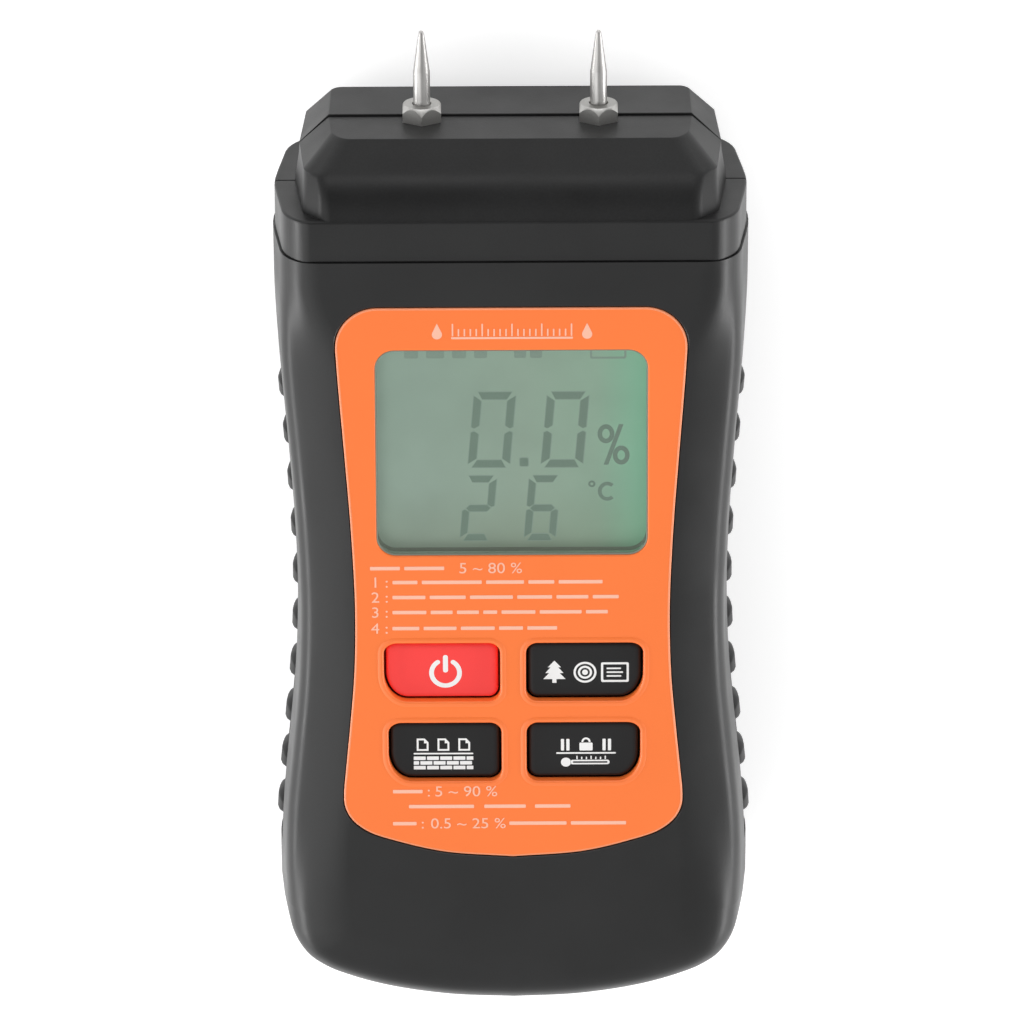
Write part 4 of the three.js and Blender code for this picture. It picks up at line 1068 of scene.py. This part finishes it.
# ------------------------------------------------------------------ keys
def icon_loops(name):
    out = []
    if name == "power_key":
        x, y = at(445.5, 671, 33.3)
        r, w = 2.35, 0.68
        a0, a1 = 90 + 33, 90 + 327
        c = (x, y - 0.25)
        rm = r - w / 2
        e1 = (c[0] + rm * math.cos(math.radians(a1)), c[1] + rm * math.sin(math.radians(a1)))
        e0 = (c[0] + rm * math.cos(math.radians(a0)), c[1] + rm * math.sin(math.radians(a0)))
        out.append(np.concatenate([
            arc(*c, r, r, a0, a1, 60)[:-1], arc(*e1, w / 2, w / 2, a1, a1 + 180, 10)[:-1],
            arc(*c, r - w, r - w, a1, a0, 60)[:-1], arc(*e0, w / 2, w / 2, a0 - 180, a0, 10)[:-1]]))
        out.append(bar(x - 0.36, x + 0.36, y - 0.2, y + 2.55, 0.34))
    if name == "wood_key":
        x, y = at(585, 673, 33.3)
        # conifer, log end with rings, board with grain
        out.append(poly(x - 4.4, y - 1.6, [(-0.3, 0), (0.3, 0), (0.3, 0.6), (1.6, 0.6), (0.75, 1.55), (1.3, 1.55), (0.55, 2.45), (0.95, 2.45), (0, 3.5), (-0.95, 2.45), (-0.55, 2.45), (-1.3, 1.55), (-0.75, 1.55), (-1.6, 0.6), (-0.3, 0.6)]))
        for r in (1.65, 1.02, 0.42):
            out += ring_loops(x, y + 0.05, r, 0.32 if r > 0.5 else 0.40)
        bx = x + 4.3
        out += [bar(bx - 2.0, bx + 2.0, y - 1.5, y + 1.6, 0.25), bar(bx - 1.68, bx + 1.68, y - 1.18, y + 1.28, 0.12)]
        for dy in (-0.55, 0.05, 0.65):
            out.append(bar(bx - 1.2, bx + 1.2 - 0.5 * abs(dy), y + dy - 0.12, y + dy + 0.12, 0.1, 3))
    if name == "paper_wall_key":
        x, y = at(443.5, 754, 33.3)
        for i in (-1, 0, 1):
            cx = x + i * 3.0
            out.append(poly(cx, y + 0.55, [(-0.85, 0), (0.85, 0), (0.85, 1.35), (0.3, 1.95), (-0.85, 1.95)]))
            out.append(poly(cx, y + 0.55, [(-0.58, 0.27), (0.58, 0.27), (0.58, 1.2), (0.2, 1.2), (0.2, 1.68), (-0.58, 1.68)]))
        out.append(bar(x - 4.3, x + 4.3, y - 0.02, y + 0.22, 0.1, 3))
        w, h, g = 1.72, 0.56, 0.19
        for r in range(3):
            off = 0.0 if r % 2 == 0 else -(w + g) / 2
            y0 = y - 0.35 - r * (h + g) - h
            xx = x - 4.3 + off
            while xx < x + 4.3:
                a, b = max(xx, x - 4.3), min(xx + w, x + 4.3)
                if b - a > 0.3:
                    out.append(bar(a, b, y0, y0 + h, 0.06, 2))
                xx += w + g
    if name == "hold_key":
        x, y = at(586, 754, 33.3)
        # padlock between two pause bars, and a thermometer under the line
        out += [bar(x - 0.95, x + 0.95, y + 0.5, y + 1.75, 0.15)]
        out.append(np.concatenate([arc(x, y + 1.85, 0.66, 0.72, 0, 180, 18), arc(x, y + 1.85, 0.38, 0.44, 180, 0, 18)]))
        for s in (-1, 1):
            out += [bar(x + s * 3.0 - 0.62, x + s * 3.0 - 0.16, y + 0.5, y + 2.35, 0.12), bar(x + s * 3.0 + 0.16, x + s * 3.0 + 0.62, y + 0.5, y + 2.35, 0.12)]
        out.append(bar(x - 4.3, x + 4.3, y - 0.02, y + 0.22, 0.1, 3))
        yy = y - 1.35
        out.append(arc(x - 2.9, yy, 0.72, 0.72, 0, 360, 24)[:-1])
        out += [bar(x - 2.25, x + 3.4, yy - 0.36, yy + 0.36, 0.34), bar(x - 1.9, x + 3.1, yy - 0.13, yy + 0.13, 0.12)]
        for i in range(7):
            xx = x - 1.3 + i * 0.68
            out.append(bar(xx - 0.09, xx + 0.09, yy + 0.44, yy + 0.85 + (0.15 if i % 3 == 0 else 0), 0.07, 2))
    return out


for name, k in KEYS.items():
    g = -0.28
    rings = [(29.3, key_ring(k, g)), (32.55, key_ring(k, g)), (32.85, key_ring(k, g - 0.05)), (33.05, key_ring(k, g - 0.17)), (33.18, key_ring(k, g - 0.36)), (33.24, key_ring(k, g - 0.62)), (33.25, key_ring(k, g - 0.95))]
    o = stack(name + "_cap", rings)
    flange = stack("t", [(29.2, key_ring(k, 0.85)), (30.3, key_ring(k, 0.85))])
    cx, cy = (k[0] + k[1]) / 2, (k[2] + k[3]) / 2
    stem = stack("t", [(27.3, round_rect(9, 5.4, 1.2, cx, cy, 5)), (29.6, round_rect(9, 5.4, 1.2, cx, cy, 5))])
    boolean(o, [flange, stem], "UNION")
    finish_piece(o, name, M["red" if name == "power_key" else "black"], "red_key" if name == "power_key" else "black_key", name, angle=40)
    prints(name + "_symbol", icon_loops(name), 33.235, 0.035, M["white_ink"], name)

# ------------------------------------------------------------------ electrode pins
for name, s in (("left_pin", -1), ("right_pin", 1)):
    x = s * PIN_X
    prof = [(1.40, 54.95), (1.42, 55.2), (1.42, 60.6), (1.19, 60.7), (1.19, 68.02), (1.182, 68.06), (1.185, 68.12), (1.15, 68.25), (0.97, 69.6), (0.765, 71.1), (0.555, 72.7), (0.42, 73.6), (0.37, 73.84), (0.29, 74.02), (0.17, 74.12), (0.04, 74.15)]
    o = lathe_y(name + "_needle", prof, x, PIN_Z, 64)
    finish_piece(o, "root", M["steel"], "pin_steel", name, angle=40, weighted=False)
    # hexagon with a corner to the front, rims turned to a chamfer
    r = 5.42 / math.sqrt(3)
    a = np.radians(np.arange(6) * 60)
    hexa = np.stack([x + r * np.sin(a), PIN_Z + r * np.cos(a)], 1)
    hx = stack_y(name + "_hexagon", [(60.75, hexa), (63.25, hexa)])
    lim = lathe_y("t", [(2.85, 60.6), (3.22, 60.98), (3.30, 61.85), (2.66, 63.14), (2.60, 63.21), (2.50, 63.26)], x, PIN_Z, 96)
    boolean(hx, lim, "INTERSECT")
    bore = lathe_y("t", [(1.22, 60.0), (1.22, 62.95), (1.40, 63.3), (1.45, 64)], x, PIN_Z, 64)
    boolean(hx, bore)
    finish_piece(hx, "root", M["hex"], "pin_steel", name, angle=20)

# ------------------------------------------------------------------ battery, door, screws
zc2 = (2.8 + 20.0) / 2
rr = lambda g: np.stack([q for q in round_rect(26.2 - 2 * g, 17.2 - 2 * g, 2.2 - g, 0, zc2, 8).T], 1)
cell = stack_y("battery_cell", [(-62.6, rr(0.5)), (-62.45, rr(0.15)), (-62.2, rr(0.0)), (-16.9, rr(0.0)), (-16.5, rr(0.12)), (-16.3, rr(0.5))])
finish_piece(cell, "root", M["cell"], "battery_jacket", "battery", angle=40)
band = stack_y("battery_band", [(-30.0, rr(-0.04)), (-18.6, rr(-0.04))])
finish_piece(band, "root", M["cell_band"], "battery_jacket", angle=40)
marks = [bar(-8.5, -4.5, -22.0, -21.2, 0.1), bar(-6.9, -6.1, -23.6, -19.6, 0.1), bar(4.5, 8.5, -22.0, -21.2, 0.1)]
mk = prints("battery_polarity", marks, 2.72, 0.05, M["white_ink"], "root")

door = stack("door_panel", [(0.3, round_rect(31.6, dh - 0.4, 2.2, 0, dcy)), (0.42, round_rect(31.85, dh - 0.15, 2.25, 0, dcy)), (0.6, round_rect(32.0, dh, 2.3, 0, dcy)), (2.1, round_rect(32.0, dh, 2.3, 0, dcy))])
adds = [box("t", s * 9 - 2.5, s * 9 + 2.5, -67.3, -64.9, 2.0, 3.1) for s in (-1, 1)]
adds += [box("t", s * 13.9 - 0.4, s * 13.9 + 0.4, -60, -14, 2.0, 3.4) for s in (-1, 1)] + [box("t", -4.5, 4.5, -9.9, -8.5, 2.0, 4.4)]
boolean(door, adds, "UNION")
tools = [rod("t", 0, -9.6, 0, 0, 0, profile=[(-1, 4.6), (0.3, 4.4), (0.6, 4.2), (0.95, 3.9)])]
for i in range(8):
    yy = -17.2 - 1.5 * i
    tools.append(stack("t", [(-1, round_rect(15, 1.1, 0.5, 0, yy, 6)), (0.3, round_rect(14.8, 0.9, 0.42, 0, yy, 6)), (0.75, round_rect(14.4, 0.5, 0.22, 0, yy, 6))]))
boolean(door, tools)
finish_piece(door, "battery_door", M["casing"], "casing", "battery_door", angle=35)


def screw(name, x, y, z, z1, hr, hh, r, node):
    """Pan head under its bearing face at z, cross recess, threaded shank up to z1."""
    a = [(z - hh, hr * 0.55), (z - hh * 0.92, hr * 0.78), (z - hh * 0.7, hr * 0.93), (z - hh * 0.4, hr), (z, hr), (z + 0.001, r)]
    zz = z + 0.3
    while zz < z1 - 1.2:
        a += [(zz, r * 0.82), (zz + 0.28, r * 1.0), (zz + 0.36, r * 1.0), (zz + 0.6, r * 0.82)]
        zz += 0.62
    a += [(z1 - 0.9, r * 0.7), (z1, r * 0.18)]
    o = rod(name, x, y, 0, 0, 0, n=40, profile=a)
    t = [box("t", x - 0.30, x + 0.30, y - hr * 0.55, y + hr * 0.55, z - hh - 1, z - hh * 0.35), box("t", x - hr * 0.55, x + hr * 0.55, y - 0.30, y + 0.30, z - hh - 1, z - hh * 0.35)]
    boolean(o, t)
    finish_piece(o, "root", M["zinc"], "zinc", node, angle=40)


for i, (x, y) in enumerate(SHELL_SCREWS):
    screw(f"case_screw_{i + 1}", x, y, 9.95, 24.0, 2.75, 2.0, 1.2, f"shell_screw_{i + 1}")

# ------------------------------------------------------------------ finishes on the CAD nodes that stay
SLOT_MAT = {"carbon": "carbon", "silicone": "silicone", "board": "board", "inner_plastic": "black", "white_plastic": "white", "chip": "chip", "capacitor": "cap",
            "brass": "brass", "red_wire": "wire_red", "black_wire": "wire_black", "zinc": "zinc", "battery_jacket": "cell", "casing": "casing", "grip_rubber": "grip",
            "faceplate": "plate", "lens": "lens", "red_key": "red", "black_key": "black", "display": "lcd", "pin_steel": "steel"}
slots = {s["node"]: s["material_slot"] for s in frame["record"]["subparts"]}
for n, o in frame["nodes"].items():
    mt = M["foam"] if n == "battery_pad" else M[SLOT_MAT[slots[n]]]
    o.data.materials.clear()
    o.data.materials.append(mt)

# ------------------------------------------------------------------ floor and light
fl = bpy.data.meshes.new("floor")
S = 3.0
fl.from_pydata([(-S, -S, -0.0002), (S, -S, -0.0002), (S, S, -0.0002), (-S, S, -0.0002)], [], [(0, 1, 2, 3)])
floor = bpy.data.objects.new("floor", fl)
bpy.context.scene.collection.objects.link(floor)
floor_mat, nt, out = new_mat("floor")
b = nt.nodes.new("ShaderNodeBsdfPrincipled")
b.inputs["Base Color"].default_value = (0.90, 0.90, 0.90, 1)
b.inputs["Roughness"].default_value = 0.9
b.inputs["Specular IOR Level"].default_value = 0.0
b.inputs["Emission Color"].default_value = (1, 1, 1, 1)
b.inputs["Emission Strength"].default_value = 0.46
clear = nt.nodes.new("ShaderNodeBsdfTransparent")
geo = nt.nodes.new("ShaderNodeNewGeometry")
mx = nt.nodes.new("ShaderNodeMixShader")
nt.links.new(geo.outputs["Backfacing"], mx.inputs["Fac"])
nt.links.new(b.outputs["BSDF"], mx.inputs[1])
nt.links.new(clear.outputs["BSDF"], mx.inputs[2])
nt.links.new(mx.outputs["Shader"], out.inputs["Surface"])
fl.materials.append(floor_mat)

world = bpy.data.worlds.new("world")
bpy.context.scene.world = world
world.use_nodes = True
wn, wl = world.node_tree.nodes, world.node_tree.links
bg = wn["Background"]
bg.inputs["Strength"].default_value = 1.0
wtc = wn.new("ShaderNodeTexCoord")


def lobe(direction, wide, tight):
    """0 to 1: how near a direction of the sky is to the given one, in degrees."""
    d = Vector(direction).normalized()
    dot = wn.new("ShaderNodeVectorMath")
    dot.operation = "DOT_PRODUCT"
    wl.new(wtc.outputs["Generated"], dot.inputs[0])
    dot.inputs[1].default_value = d
    mr = wn.new("ShaderNodeMapRange")
    mr.interpolation_type = "SMOOTHSTEP"
    mr.inputs["From Min"].default_value = math.cos(math.radians(wide))
    mr.inputs["From Max"].default_value = math.cos(math.radians(tight))
    wl.new(dot.outputs["Value"], mr.inputs["Value"])
    return mr.outputs["Result"]


def wmath(op, a, b):
    n = wn.new("ShaderNodeMath")
    n.operation = op
    for i, v in enumerate((a, b)):
        if isinstance(v, (int, float)):
            n.inputs[i].default_value = v
        else:
            wl.new(v, n.inputs[i])
    return n.outputs["Value"]


level = wmath("SUBTRACT", SKY, wmath("MULTIPLY", lobe((0, 0.25, 0.97), 38, 13), SKY_ZENITH))
level = wmath("ADD", level, wmath("MULTIPLY", lobe((-0.55, -0.30, 0.80), 34, 6), SKY_LEFT))
level = wmath("ADD", level, wmath("MULTIPLY", lobe((0.55, -0.30, 0.80), 30, 6), SKY_RIGHT))
wl.new(level, bg.inputs["Color"])


def area(name, loc, look, sx, sy, power):
    li = bpy.data.lights.new(name, "AREA")
    li.shape = "RECTANGLE"
    li.size, li.size_y = sx, sy
    li.energy = power
    o = bpy.data.objects.new(name, li)
    bpy.context.scene.collection.objects.link(o)
    loc, look = Vector(loc), Vector(look)
    o.location = loc
    o.rotation_mode = "QUATERNION"
    o.rotation_quaternion = (loc - look).to_track_quat("Z", "Y")
    return o


area("left_box", (-0.85, -0.30, 0.17), (0, 0, 0.015), 0.9, 0.20, LEFT_POWER)
area("right_box", (0.85, -0.30, 0.17), (0, 0, 0.015), 0.9, 0.20, RIGHT_POWER)
area("far_box", (0, 0.85, 0.50), (0, 0.03, 0.02), 0.9, 0.30, FAR_POWER)
under = area("under_box", (0, -0.1, -0.9), (0, 0, 0), 1.2, 1.2, 10.0)

sc = bpy.context.scene
sc.view_settings.view_transform = "Standard"
sc.view_settings.look = "None"
sc.view_settings.exposure = 0.0
sc.view_settings.gamma = 1.0
